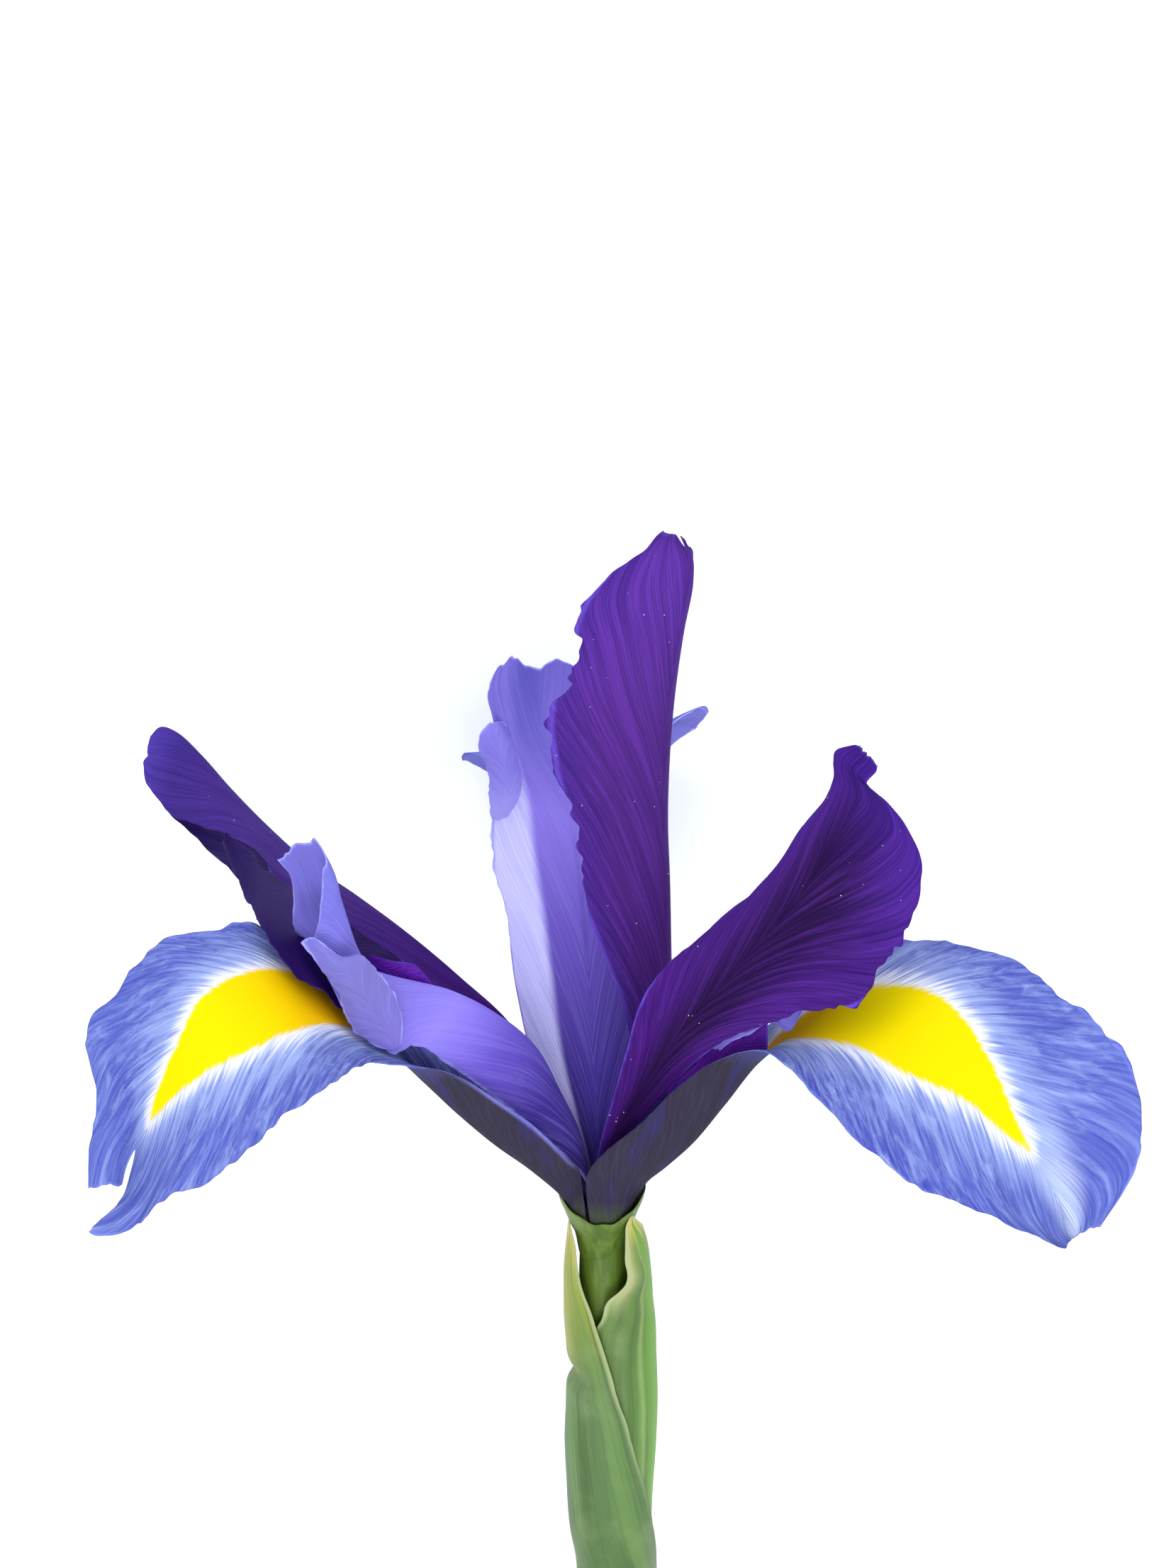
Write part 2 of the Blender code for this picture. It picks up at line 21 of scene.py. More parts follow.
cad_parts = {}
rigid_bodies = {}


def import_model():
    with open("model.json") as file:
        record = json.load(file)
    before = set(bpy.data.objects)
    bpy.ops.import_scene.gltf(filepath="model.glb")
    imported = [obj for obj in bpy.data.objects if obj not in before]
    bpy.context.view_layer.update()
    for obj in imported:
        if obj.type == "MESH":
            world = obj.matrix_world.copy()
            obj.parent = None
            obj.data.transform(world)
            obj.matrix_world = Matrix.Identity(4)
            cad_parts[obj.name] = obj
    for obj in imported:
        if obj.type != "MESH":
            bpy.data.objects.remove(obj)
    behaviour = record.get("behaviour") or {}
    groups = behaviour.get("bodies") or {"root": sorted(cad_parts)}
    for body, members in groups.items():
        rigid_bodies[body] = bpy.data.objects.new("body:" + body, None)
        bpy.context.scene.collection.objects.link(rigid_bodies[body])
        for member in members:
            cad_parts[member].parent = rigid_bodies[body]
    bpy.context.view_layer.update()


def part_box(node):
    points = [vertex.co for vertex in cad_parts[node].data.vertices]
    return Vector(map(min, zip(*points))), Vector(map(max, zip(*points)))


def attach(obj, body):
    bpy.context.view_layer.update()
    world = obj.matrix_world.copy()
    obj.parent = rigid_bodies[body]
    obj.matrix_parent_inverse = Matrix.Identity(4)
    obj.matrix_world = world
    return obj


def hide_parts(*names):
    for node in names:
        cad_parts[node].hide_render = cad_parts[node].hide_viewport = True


LOG = logging.getLogger("iris")
MM = 0.001
NOD = math.radians(30)
# Noises that fray a margin: bumps for each of its waves, strength and shift of its seed.
FRAY_LAYERS = ((2, 1.0, 11), (5, 0.55, 12), (11, 0.35, 13))
# Noises that fray a tip: bumps over the whole width, strength and shift of its seed.
TIP_LAYERS = ((14, 1.0, 0), (31, 0.5, 5))
# Noises of the pleats along the veins: bumps over the whole length, strength and shift of the seed.
PLEAT_LAYERS = ((46, 1.0, 30), (90, 0.5, 31))

Point = tuple[float, float, float]
Row = list[Point]
Colour = tuple[float, float, float]
Stops = tuple[tuple[float, Colour], ...]
ArmStation = tuple[float, float, float, float, float]
BractSection = tuple[float, float, float, float, float]
Socket = bpy.types.NodeSocket
Material = bpy.types.Material
Thing = bpy.types.Object


def srgb(red: int, green: int, blue: int) -> Colour:
    """Turns a display colour of 0 to 255 a channel into the linear one that shaders use.

    Args:
        red: The red channel.
        green: The green channel.
        blue: The blue channel.

    Returns:
        The linear colour, 0 to 1 a channel.
    """
    shares = (channel / 255 for channel in (red, green, blue))
    return tuple(s / 12.92 if s <= 0.04045 else ((s + 0.055) / 1.055) ** 2.4 for s in shares)


def shades(*stops: tuple[float, int, int, int]) -> Stops:
    """Turns stops of a place and a display colour into the stops of a ramp."""
    return tuple((place, srgb(*colour)) for place, *colour in stops)


def flower_point(x: float, y: float, height: float) -> Point:
    """Gives the point in the flower's frame that shows at this height when the flower nods.

    Args:
        x: Millimetres to the right.
        y: Millimetres to the back of the flower's axis.
        height: Millimetres up, seen from the front.

    Returns:
        The point as x, y and z.
    """
    return (x, y, (height - y * math.sin(NOD)) / math.cos(NOD))


def smooth(knots: np.ndarray, points: np.ndarray, places: np.ndarray) -> np.ndarray:
    """Reads a smooth curve through points at its knots.

    Args:
        knots: Rising parameters, one for each point.
        points: The points, of any shape after the first axis.
        places: The parameters to read at.

    Returns:
        One point for each place.
    """
    knots, points, places = (np.asarray(part, float) for part in (knots, points, places))
    slopes = np.gradient(points, knots, axis=0)
    cells = np.clip(np.searchsorted(knots, places, side="right") - 1, 0, len(knots) - 2)
    span = knots[cells + 1] - knots[cells]
    shape = (-1,) + (1,) * (points.ndim - 1)
    t, span = ((places - knots[cells]) / span).reshape(shape), span.reshape(shape)
    return (
        (2 * t**3 - 3 * t**2 + 1) * points[cells]
        + (t**3 - 2 * t**2 + t) * span * slopes[cells]
        + (3 * t**2 - 2 * t**3) * points[cells + 1]
        + (t**3 - t**2) * span * slopes[cells + 1]
    )


def ease(values: np.ndarray, low: float, high: float) -> np.ndarray:
    """Rises smoothly from 0 at low to 1 at high."""
    t = np.clip((values - low) / (high - low), 0, 1)
    return t * t * (3 - 2 * t)


def drift(places: np.ndarray, cells: int, seed: int) -> np.ndarray:
    """Gives smooth noise of -1 to 1 along a line.

    Args:
        places: Positions, 0 to 1 over the whole line.
        cells: How many bumps the line holds.
        seed: Which noise it is.

    Returns:
        The noise at each place.
    """
    values = np.random.default_rng(seed).uniform(-1, 1, 2 * cells + 4)
    flat = np.clip(np.asarray(places, float).ravel(), -0.1, 1.9)
    return smooth(np.arange(2 * cells + 4), values, flat * cells + 1.5).reshape(np.shape(places))


def layered(
    places: np.ndarray, layers: tuple[tuple[int, float, int], ...], bumps: int, seed: int
) -> np.ndarray:
    """Adds up layers of smooth noise.

    Args:
        places: Positions, 0 to 1 over the whole line.
        layers: Bumps, strength and shift of the seed of each layer.
        bumps: What the bumps of each layer are multiplied by.
        seed: Which noise it is.

    Returns:
        The sum at each place.
    """
    return sum(strength * drift(places, bumps * count, seed + shift) for count, strength, shift in layers)


def five_across(row: Row, fold: float) -> list[np.ndarray]:
    """Turns a row of three points into five.

    Args:
        row: One margin, the midrib and the other margin.
        fold: 2 for a round arch, 1 for a sharp crease along the midrib.

    Returns:
        The five points, from margin to margin.
    """
    near, middle, far = (np.array(point, float) for point in row)
    chord, rise = (far - near) / 4, (near + far) / 2 - middle
    return [near, middle - chord + rise * 0.5**fold, middle, middle + chord + rise * 0.5**fold, far]


@dataclass(frozen=True)
class Margin:
    """How one margin of a petal waves and frays.

    Attributes:
        wave: Millimetres that the waves lift the margin.
        fray: Share of the half width by which the outline goes in and out.
        bumps: How many waves there are from claw to tip.
        seed: Which noise shapes them.
        start: Share of the length at which they begin.
    """

    wave: float
    fray: float
    bumps: int
    seed: int
    start: float = 0.35


@dataclass(frozen=True)
class Tip:
    """How the end of a petal is cut.

    Attributes:
        notch: Share of the length that the notch at the midrib takes.
        width: Share of the half width that the notch spans.
        place: Where the notch is across the petal, from -1 to 1.
        fray: Share of the length by which the end goes in and out.
        seed: Which noise frays it.
    """

    notch: float = 0.0
    width: float = 0.15
    place: float = 0.0
    fray: float = 0.0
    seed: int = 1


@dataclass(frozen=True)
class Signal:
    """The yellow signal of a fall, as bounds across it at places along it.

    Attributes:
        rows: Row numbers, counted from the first drawn row.
        low: Lowest place across at each row.
        high: Highest place across at each row.
    """

    rows: tuple[float, ...]
    low: tuple[float, ...]
    high: tuple[float, ...]


class Side(Enum):
    """Which way the inner face of a sheet looks, beside the turn from its length to its width."""

    WITH = 1
    AGAINST = -1


@dataclass
class Sheet:
    """A petal, style arm or bract: a thin closed skin over a smooth surface.

    Attributes:
        rows: Rows of points in the flower's frame, each from margin to margin.
        side: Which way its inner face looks.
        thickness: Thickness along the midrib, in millimetres.
        first: Margin at the first point of each row.
        last: Margin at the last point of each row.
        tip: The end of the sheet.
        along: Points along the sheet.
        across: Points across the sheet.
        lag: Share of the length by which a vein runs on from the midrib to the margin.
        bend: Below 1, the veins leave the midrib nearly along it.
        pleat: Millimetres of fine pleats along the veins.
        signal: The yellow signal, or None.
        claw_rows: Rows before the first drawn one.
    """

    rows: list[list[np.ndarray]]
    side: Side
    thickness: float
    first: Margin
    last: Margin
    tip: Tip = field(default_factory=Tip)
    along: int = 240
    across: int = 81
    lag: float = 0.3
    bend: float = 0.75
    pleat: float = 0.0
    signal: Signal | None = None
    claw_rows: int = 2

    def stations(self) -> np.ndarray:
        """Gives each row's share of the length."""
        steps = np.linalg.norm(np.diff(np.array(self.rows), axis=0), axis=2).mean(axis=1)
        return np.concatenate([[0], np.cumsum(steps)]) / steps.sum()

    def places(self) -> tuple[np.ndarray, np.ndarray]:
        """Gives every point's share of the length and its place across, as grids."""
        u, v = np.meshgrid(np.linspace(0, 1, self.along), np.linspace(-1, 1, self.across), indexing="ij")
        ends = layered((v + 1) / 2, TIP_LAYERS, 1, self.tip.seed)
        notch = self.tip.notch * np.exp(-(((v - self.tip.place) / self.tip.width) ** 2))
        length = 1 - notch - self.tip.fray * (0.6 + 0.6 * ends)
        far_u = u * (length * ease(u, 0.3, 1.0) + (1 - ease(u, 0.3, 1.0)))
        reach = np.ones_like(u)
        for sign, margin in ((-1, self.first), (1, self.last)):
            ragged = layered(u, FRAY_LAYERS, margin.bumps, margin.seed)
            there = (np.sign(v) == sign) * ease(u, margin.start, margin.start + 0.12)
            reach += margin.fray * there * (ragged - 0.6)
        return far_u, v * (1 + (reach - 1) * np.abs(v) ** 2)

    def surface(self) -> tuple[np.ndarray, np.ndarray, np.ndarray]:
        """Gives the grid of points, before it waves, with its places along and across."""
        u, v = self.places()
        rows = np.array(self.rows)
        lengthwise = smooth(self.stations(), rows, u.ravel())
        weights = smooth(np.linspace(-1, 1, rows.shape[1]), np.eye(rows.shape[1]), v.ravel())
        return np.einsum("nm,nmk->nk", weights, lengthwise).reshape(*u.shape, 3), u, v

    def waved(self) -> tuple[np.ndarray, np.ndarray, np.ndarray]:
        """Gives the grid of points with its waves and pleats."""
        grid, u, v = self.surface()
        lift = np.zeros_like(u)
        vein = self.vein_places(u, v)
        for sign, margin in ((-1, self.first), (1, self.last)):
            wave = drift(vein, margin.bumps, margin.seed)
            wave += 0.4 * np.abs(v) * drift(vein, margin.bumps * 3, margin.seed + 3)
            edge = np.clip((np.abs(v) - 0.3) / 0.7, 0, 1) ** 1.5
            there = (np.sign(v) == sign) * ease(u, margin.start, margin.start + 0.2)
            lift += margin.wave * wave * edge * there
        fine = layered(vein, PLEAT_LAYERS, 1, self.first.seed)
        lift += self.pleat * fine * ease(np.abs(v), 0.15, 0.8) * ease(u, 0.15, 0.5)
        return grid + normals_of(grid) * lift[..., None], u, v

    def vein_places(self, u: np.ndarray, v: np.ndarray) -> np.ndarray:
        """Gives where along the margin the vein through each point ends."""
        return u + self.lag * (1 - np.abs(v) ** self.bend)

    def attributes(self, grid: np.ndarray, u: np.ndarray, v: np.ndarray) -> dict[str, np.ndarray]:
        """Gives what the finishes read: places, vein lines, distance to the margin and the signal.

        Args:
            grid: The points.
            u: Each point's share of the length.
            v: Each point's place across.

        Returns:
            A grid of numbers for each attribute's name.
        """
        half = np.linalg.norm(np.diff(grid, axis=1), axis=2).sum(axis=1) / 2
        length = np.linalg.norm(np.diff(grid, axis=0), axis=2).sum(axis=0)
        sideways = (1 - np.abs(v)) * half[:, None]
        endways = (1 - u / u.max(axis=0)) * length[None, :]
        values = {
            "along": u,
            "across": v,
            "line": self.vein_places(u, v) * length.mean(),
            "run": np.abs(v) * half[:, None],
            "rim": np.minimum(np.abs(sideways), endways),
        }
        if self.signal:
            values["signal"] = self.signal_depth(u, v, half)
        return values

    def signal_depth(self, u: np.ndarray, v: np.ndarray, half: np.ndarray) -> np.ndarray:
        """Gives the millimetres to the signal's outline, positive inside it.

        Args:
            u: Each point's share of the length.
            v: Each point's place across.
            half: Half the width of each row in millimetres.

        Returns:
            The depth of each point.
        """
        rows = np.array(self.signal.rows) + self.claw_rows
        stations = np.interp(rows, np.arange(len(self.rows)), self.stations())
        low = np.interp(u, stations, self.signal.low)
        high = np.interp(u, stations, self.signal.high)
        inside = np.minimum(v - low, high - v) * half[:, None]
        beyond = np.maximum(np.maximum(stations[0] - u, u - stations[-1]), 0) * 90
        return np.where(beyond > 0, np.minimum(inside, 0) - beyond, inside)


def normals_of(grid: np.ndarray) -> np.ndarray:
    """Gives the unit normals of a grid of points, by the turn from its length to its width."""
    found = np.cross(np.gradient(grid, axis=0), np.gradient(grid, axis=1))
    return found / np.maximum(np.linalg.norm(found, axis=2, keepdims=True), 1e-9)


@dataclass(frozen=True)
class LaidFlower:
    """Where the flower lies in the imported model's frame.

    Attributes:
        matrix: From the flower's frame in millimetres to the model's frame in metres.
    """

    matrix: Matrix

    @classmethod
    def on_frame(cls, rise: float, shapes: dict[str, np.ndarray]) -> LaidFlower:
        """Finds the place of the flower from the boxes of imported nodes.

        Args:
            rise: Angle by which the stem rises towards the flower.
            shapes: Node name to points in the flower's frame that fill the node's box.

        Returns:
            The laid flower.
        """
        turn = Matrix.Rotation(-(math.pi / 2 - rise), 4, "X") @ Matrix.Scale(MM, 4)
        gaps = []
        for node, points in shapes.items():
            laid = points.reshape(-1, 3) @ np.array(turn.to_3x3()).T
            low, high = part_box(node)
            gaps.append((np.array(low) + np.array(high) - laid.min(axis=0) - laid.max(axis=0)) / 2)
        return cls(Matrix.Translation(Vector(np.mean(gaps, axis=0))) @ turn)

    def points(self, grid: np.ndarray) -> np.ndarray:
        """Gives the points in the model's frame."""
        rotation, place = np.array(self.matrix.to_3x3()), np.array(self.matrix.translation)
        return grid.reshape(-1, 3) @ rotation.T + place


class Wiring:
    """Wires the nodes of one material.

    Args:
        name: The material's name.
    """

    def __init__(self, name: str) -> None:
        """Starts an empty material."""
        self.material = bpy.data.materials.new(name)
        self.material.use_nodes = True
        self.tree = self.material.node_tree
        self.tree.nodes.clear()

    def node(self, kind: str, **settings: object) -> bpy.types.Node:
        """Adds a node with these properties set."""
        made = self.tree.nodes.new(kind)
        for name, value in settings.items():
            setattr(made, name, value)
        return made

    def feed(self, socket: Socket, value: object) -> None:
        """Links a socket to the input, or sets the input to a number or colour."""
        if isinstance(value, Socket):
            self.tree.links.new(value, socket)
        elif isinstance(value, tuple) and len(value) == 3 and socket.type == "RGBA":
            socket.default_value = (*value, 1)
        else:
            socket.default_value = value

    def attribute(self, name: str) -> Socket:
        """Reads one of the piece's own number attributes."""
        return self.node("ShaderNodeAttribute", attribute_name=name).outputs["Fac"]

    def here(self) -> Socket:
        """Reads the Object coordinates."""
        return self.node("ShaderNodeTexCoord").outputs["Object"]

    def vector(self, x: object, y: object, z: object = 0.0) -> Socket:
        """Joins three numbers into a vector."""
        made = self.node("ShaderNodeCombineXYZ")
        for socket, value in zip(made.inputs, (x, y, z)):
            self.feed(socket, value)
        return made.outputs[0]

    def math(self, operation: str, first: object, second: object = 0.0, third: object = 0.0) -> Socket:
        """Does a sum on numbers or sockets."""
        made = self.node("ShaderNodeMath", operation=operation)
        for socket, value in zip(made.inputs, (first, second, third)):
            self.feed(socket, value)
        return made.outputs[0]

    def times(self, first: object, second: object) -> Socket:
        """Multiplies two numbers or sockets."""
        return self.math("MULTIPLY", first, second)

    def plus(self, first: object, second: object) -> Socket:
        """Adds two numbers or sockets."""
        return self.math("ADD", first, second)

    def wander(self, noise: Socket, reach: float) -> Socket:
        """Turns noise of 0 to 1 into a shift of -reach to reach."""
        return self.math("MULTIPLY_ADD", noise, 2 * reach, -reach)

    def step(self, value: object, low: float, high: float, bottom: float = 0.0, top: float = 1.0) -> Socket:
        """Goes smoothly from bottom to top.

        Args:
            value: What it depends on.
            low: The value at which it leaves bottom.
            high: The value at which it reaches top.
            bottom: What it gives at low.
            top: What it gives at high.

        Returns:
            The number in between.
        """
        made = self.node("ShaderNodeMapRange", interpolation_type="SMOOTHSTEP")
        names = ("Value", "From Min", "From Max", "To Min", "To Max")
        for name, setting in zip(names, (value, low, high, bottom, top)):
            self.feed(made.inputs[name], setting)
        return made.outputs[0]

    def noise(
        self, place: Socket, scale: float, detail: float = 2.0, rough: float = 0.5, bend: float = 0.0
    ) -> Socket:
        """Reads a noise texture of about 0 to 1.

        Args:
            place: Where to read it.
            scale: How fine it is.
            detail: How many finer layers it has.
            rough: How strong the finer layers are.
            bend: How much it is distorted.

        Returns:
            The noise.
        """
        made = self.node("ShaderNodeTexNoise")
        self.feed(made.inputs["Vector"], place)
        settings = {"Scale": scale, "Detail": detail, "Roughness": rough, "Distortion": bend}
        for name, setting in settings.items():
            made.inputs[name].default_value = setting
        return made.outputs["Fac"]

    def ramp(self, value: object, stops: Stops) -> Socket:
        """Runs through colours at their places."""
        made = self.node("ShaderNodeValToRGB")
        self.feed(made.inputs[0], value)
        while len(made.color_ramp.elements) < len(stops):
            made.color_ramp.elements.new(1)
        for element, (place, colour) in zip(made.color_ramp.elements, stops):
            element.position, element.color = place, (*colour, 1)
        return made.outputs[0]

    def mix(self, share: object, first: object, second: object, way: str = "MIX") -> Socket:
        """Mixes two colours.

        Args:
            share: Share of the second colour.
            first: The first colour.
            second: The second colour.
            way: How they are blended.

        Returns:
            The mixed colour.
        """
        made = self.node("ShaderNodeMix", data_type="RGBA", blend_type=way)
        self.feed(made.inputs[0], share)
        self.feed(made.inputs[6], first)
        self.feed(made.inputs[7], second)
        return made.outputs[2]

    def bump(self, height: object, depth: float, strength: float = 1.0) -> Socket:
        """Turns a height into a normal."""
        made = self.node("ShaderNodeBump")
        made.inputs["Strength"].default_value = strength
        made.inputs["Distance"].default_value = depth
        self.feed(made.inputs["Height"], height)
        return made.outputs[0]

    def finish(
        self, colour: object, rough: float, normal: Socket | None = None, glow: float = 0.0, **fixed: float
    ) -> Material:
        """Ends the material in its surface.

        Args:
            colour: Colour of the surface.
            rough: Roughness.
            normal: Normal from a bump, or None.
            glow: Share of the light that comes through from behind.
            **fixed: Settings of the shader's own sockets, with _ for a blank.

        Returns:
            The material.
        """
        shader = self.node("ShaderNodeBsdfPrincipled")
        self.feed(shader.inputs["Base Color"], colour)
        self.feed(shader.inputs["Roughness"], rough)
        for name, value in fixed.items():
            shader.inputs[name.replace("_", " ")].default_value = value
        if normal is not None:
            self.feed(shader.inputs["Normal"], normal)
        surface = shader.outputs[0]
        if glow:
            behind = self.node("ShaderNodeBsdfTranslucent")
            self.feed(behind.inputs["Color"], colour)
            both = self.node("ShaderNodeMixShader")
            both.inputs[0].default_value = glow
            self.tree.links.new(surface, both.inputs[1])
            self.tree.links.new(behind.outputs[0], both.inputs[2])
            surface = both.outputs[0]
        self.tree.links.new(surface, self.node("ShaderNodeOutputMaterial").inputs["Surface"])
        return self.material


@dataclass(frozen=True)
class Core:
    """A zone down the middle of a petal with its own colour; some zones are painted shade or painted light.

    Attributes:
        colour: The colour.
        low: Where the zone begins across the petal.
        high: Where the zone ends across the petal.
        share: How strong it is.
        soft: How softly it ends.
        start: Share of the length at which it begins.
        end: Share of the length at which it ends.
        fade: Share of the length over which it begins and ends.
    """

    colour: Colour
    low: float
    high: float
    share: float = 0.8
    soft: float = 0.3
    start: float = -0.5
    end: float = 1.5
    fade: float = 0.12

    def over(self, wiring: Wiring, colour: Socket, waver: Socket) -> Socket:
        """Wires the zone over a colour.

        Args:
            wiring: The material's wiring.
            colour: The colour under the zone.
            waver: Noise that makes the zone's sides waver.

        Returns:
            The colour with the zone on it.
        """
        place = wiring.plus(wiring.attribute("across"), wiring.wander(waver, self.soft / 2))
        rise = wiring.step(place, self.low - self.soft, self.low + self.soft)
        fall = wiring.step(place, self.high + self.soft, self.high - self.soft)
        along = wiring.attribute("along")
        begun = wiring.step(along, self.start - self.fade, self.start + self.fade, 0.0, self.share)
        left = wiring.step(along, self.end + self.fade, self.end - self.fade)
        share = wiring.times(wiring.times(rise, fall), wiring.times(begun, left))
        return wiring.mix(share, colour, self.colour)


@dataclass(frozen=True)
class PetalFinish:
    """Velvety petal skin with fine veins that run from the midrib out to the margin.

    Attributes:
        name: The material's name.
        inner: Colours of the inner face from claw to tip.
        outer: Colours of the outer face from claw to tip.
        vein: Colour of the veins.
        rim: Colour of the margin.
        pale: Colour of the pale streaks.
        veins: Strength of the veins.
        streaks: Strength of the pale streaks.
        gap: Millimetres between veins.
        rim_width: Millimetres of the margin's own colour.
        rim_start: Share of the length at which the margin's own colour begins.
        glow: Share of the light that comes through from behind.
        relief: Depth of the skin's relief in metres.
        grain: How fine the streaks are across the veins and along them.
        outer_share: How strong the streaks and veins are on the outer face.
        cores: Zones with their own colour, some of them painted shade or painted light.
    """

    name: str
    inner: Stops
    outer: Stops
    vein: Colour
    rim: Colour
    pale: Colour
    veins: float = 0.6
    streaks: float = 0.4
    gap: float = 0.85
    rim_width: float = 1.2
    rim_start: float = 0.0
    glow: float = 0.3
    relief: float = 0.00018
    grain: tuple[float, float] = (0.85, 0.16)
    outer_share: float = 1.0
    cores: tuple[Core, ...] = ()

    def material(self) -> Material:
        """Makes the material."""
        wiring = Wiring(self.name)
        colour, height = self.skin(wiring)
        return wiring.finish(
            colour, 0.6, wiring.bump(height, self.relief), self.glow, Specular_IOR_Level=0.3, IOR=1.15
        )

    def flow(self, wiring: Wiring, line: float, run: float, offset: float = 0.0) -> Socket:
        """Gives a place that follows the veins.

        Args:
            wiring: The material's wiring.
            line: Scale across the veins.
            run: Scale along the veins.
            offset: Shift that tells one noise from another.

        Returns:
            The place.
        """
        return wiring.vector(
            wiring.times(wiring.attribute("line"), line),
            wiring.times(wiring.attribute("run"), run),
            wiring.plus(wiring.attribute("across"), offset),
        )

    def skin(self, wiring: Wiring) -> tuple[Socket, Socket]:
        """Wires the colour and the height of the skin."""
        along = wiring.attribute("along")
        broad = wiring.noise(self.flow(wiring, 0.22, 0.06), 1.0, 2.0, 0.5, 0.2)
        streak = wiring.noise(self.flow(wiring, *self.grain, 3.0), 1.0, 4.0, 0.6, 0.3)
        turn = wiring.times(wiring.attribute("line"), 2 * math.pi / self.gap)
        comb = wiring.math("SINE", wiring.plus(turn, wiring.times(broad, 22.0)))
        vein = wiring.times(wiring.step(comb, 0.45, 1.0), wiring.step(streak, 0.7, 0.3))
        colour = wiring.mix(
            wiring.attribute("inner"), wiring.ramp(along, self.outer), wiring.ramp(along, self.inner)
        )
        for core in self.cores:
            colour = core.over(wiring, colour, streak)
        shown = wiring.step(wiring.attribute("inner"), 0.0, 1.0, self.outer_share)
        vein = wiring.times(vein, shown)
        mottle = wiring.times(wiring.step(streak, 0.42, 0.7, 0.0, self.streaks), shown)
        colour = wiring.mix(mottle, colour, self.pale)
        shadow = wiring.times(wiring.step(broad, 0.5, 0.3), self.veins * 0.5)
        colour = wiring.mix(shadow, colour, self.vein)
        colour = wiring.mix(wiring.times(vein, self.veins), colour, self.vein)
        ragged = wiring.plus(wiring.attribute("rim"), wiring.times(streak, 0.8))
        edge = wiring.step(ragged, self.rim_width + 0.5, 0.4)
        edge = wiring.times(edge, wiring.step(along, self.rim_start - 0.02, self.rim_start + 0.08))
        colour = wiring.mix(edge, colour, self.rim)
        return colour, wiring.plus(wiring.times(comb, -0.15), wiring.times(streak, 1.0))


@dataclass(frozen=True)
class FallFinish(PetalFinish):
    """The skin of a fall: a yellow signal in a feathered white halo.

    Attributes:
        yellow: Colour of the signal.
        orange: Colour of the signal near the bend.
        halo: Colour round the signal.
        blush: Colour of the pale streaks beyond the halo.
        warm: Shares of the length between which orange turns to yellow.
    """

    yellow: Colour = srgb(246, 222, 0)
    orange: Colour = srgb(255, 178, 6)
    halo: Colour = srgb(244, 246, 252)
    blush: Colour = srgb(170, 188, 236)
    warm: tuple[float, float] = (0.48, 0.74)

    def skin(self, wiring: Wiring) -> tuple[Socket, Socket]:
        """Wires the petal's skin, with the halo and the signal over it."""
        colour, height = super().skin(wiring)
        along, depth, inner = (wiring.attribute(name) for name in ("along", "signal", "inner"))
        feather = wiring.noise(self.flow(wiring, 1.5, 0.16, 7.0), 1.0, 3.0, 0.6, 0.3)
        cloud = wiring.noise(self.flow(wiring, 0.4, 0.3, 9.0), 1.0, 4.0, 0.65, 0.8)
        patch = wiring.times(wiring.step(cloud, 0.46, 0.74, 0.0, 0.55), inner)
        colour = wiring.mix(patch, colour, self.blush)
        reach = wiring.plus(depth, wiring.wander(feather, 7.0))
        far = wiring.times(wiring.step(reach, -7.0, 0.0, 0.0, 0.8), inner)
        colour = wiring.mix(far, colour, self.blush)
        reach = wiring.plus(depth, wiring.wander(feather, 2.5))
        near = wiring.times(wiring.step(reach, -2.2, 0.2), inner)
        colour = wiring.mix(near, colour, self.halo)
        soft = wiring.plus(depth, wiring.wander(feather, 0.7))
        shown = wiring.times(wiring.step(soft, -0.3, 0.5), inner)
        warm = wiring.plus(along, wiring.wander(feather, 0.03))
        glowing = wiring.mix(wiring.step(warm, *self.warm), self.orange, self.yellow)
        height = wiring.times(height, wiring.math("SUBTRACT", 1.0, shown))
        return wiring.mix(shown, colour, glowing), height


@dataclass(frozen=True)
class LeafFinish:
    """Smooth green skin with parallel veins, for the bracts.

    Attributes:
        name: The material's name.
        body: Colours from base to tip.
        vein: Colour of the veins.
        bright: Colour of the bright bands along it.
        paper: Colour of the papery margin.
        cores: Zones with their own colour.
    """

    name: str
    body: Stops
    vein: Colour
    bright: Colour
    paper: Colour
    cores: tuple[Core, ...] = ()

    def material(self) -> Material:
        """Makes the material."""
        wiring = Wiring(self.name)
        along, across = wiring.attribute("along"), wiring.attribute("across")
        lines = wiring.noise(wiring.vector(wiring.times(across, 30.0), along), 1.0)
        bands = wiring.noise(wiring.vector(wiring.times(across, 5.0), wiring.times(along, 2.5), 4.0), 1.0)
        mottle = wiring.noise(wiring.here(), 160.0, 3.0, 0.6)
        colour = wiring.ramp(along, self.body)
        colour = wiring.mix(wiring.step(bands, 0.48, 0.66, 0.0, 0.75), colour, self.bright)
        colour = wiring.mix(wiring.step(bands, 0.45, 0.3, 0.0, 0.5), colour, self.vein)
        colour = wiring.mix(wiring.step(lines, 0.5, 0.68, 0.0, 0.35), colour, self.vein)
        colour = wiring.mix(wiring.step(mottle, 0.45, 0.8, 0.0, 0.2), colour, self.paper)
        for core in self.cores:
            colour = core.over(wiring, colour, mottle)
        margin = wiring.times(wiring.step(wiring.attribute("rim"), 0.7, 0.1), wiring.step(along, 0.4, 0.7))
        colour = wiring.mix(wiring.times(margin, 0.8), colour, self.paper)
        return wiring.finish(colour, 0.45, wiring.bump(lines, 0.0002, 0.5), 0.15, Specular_IOR_Level=0.25)


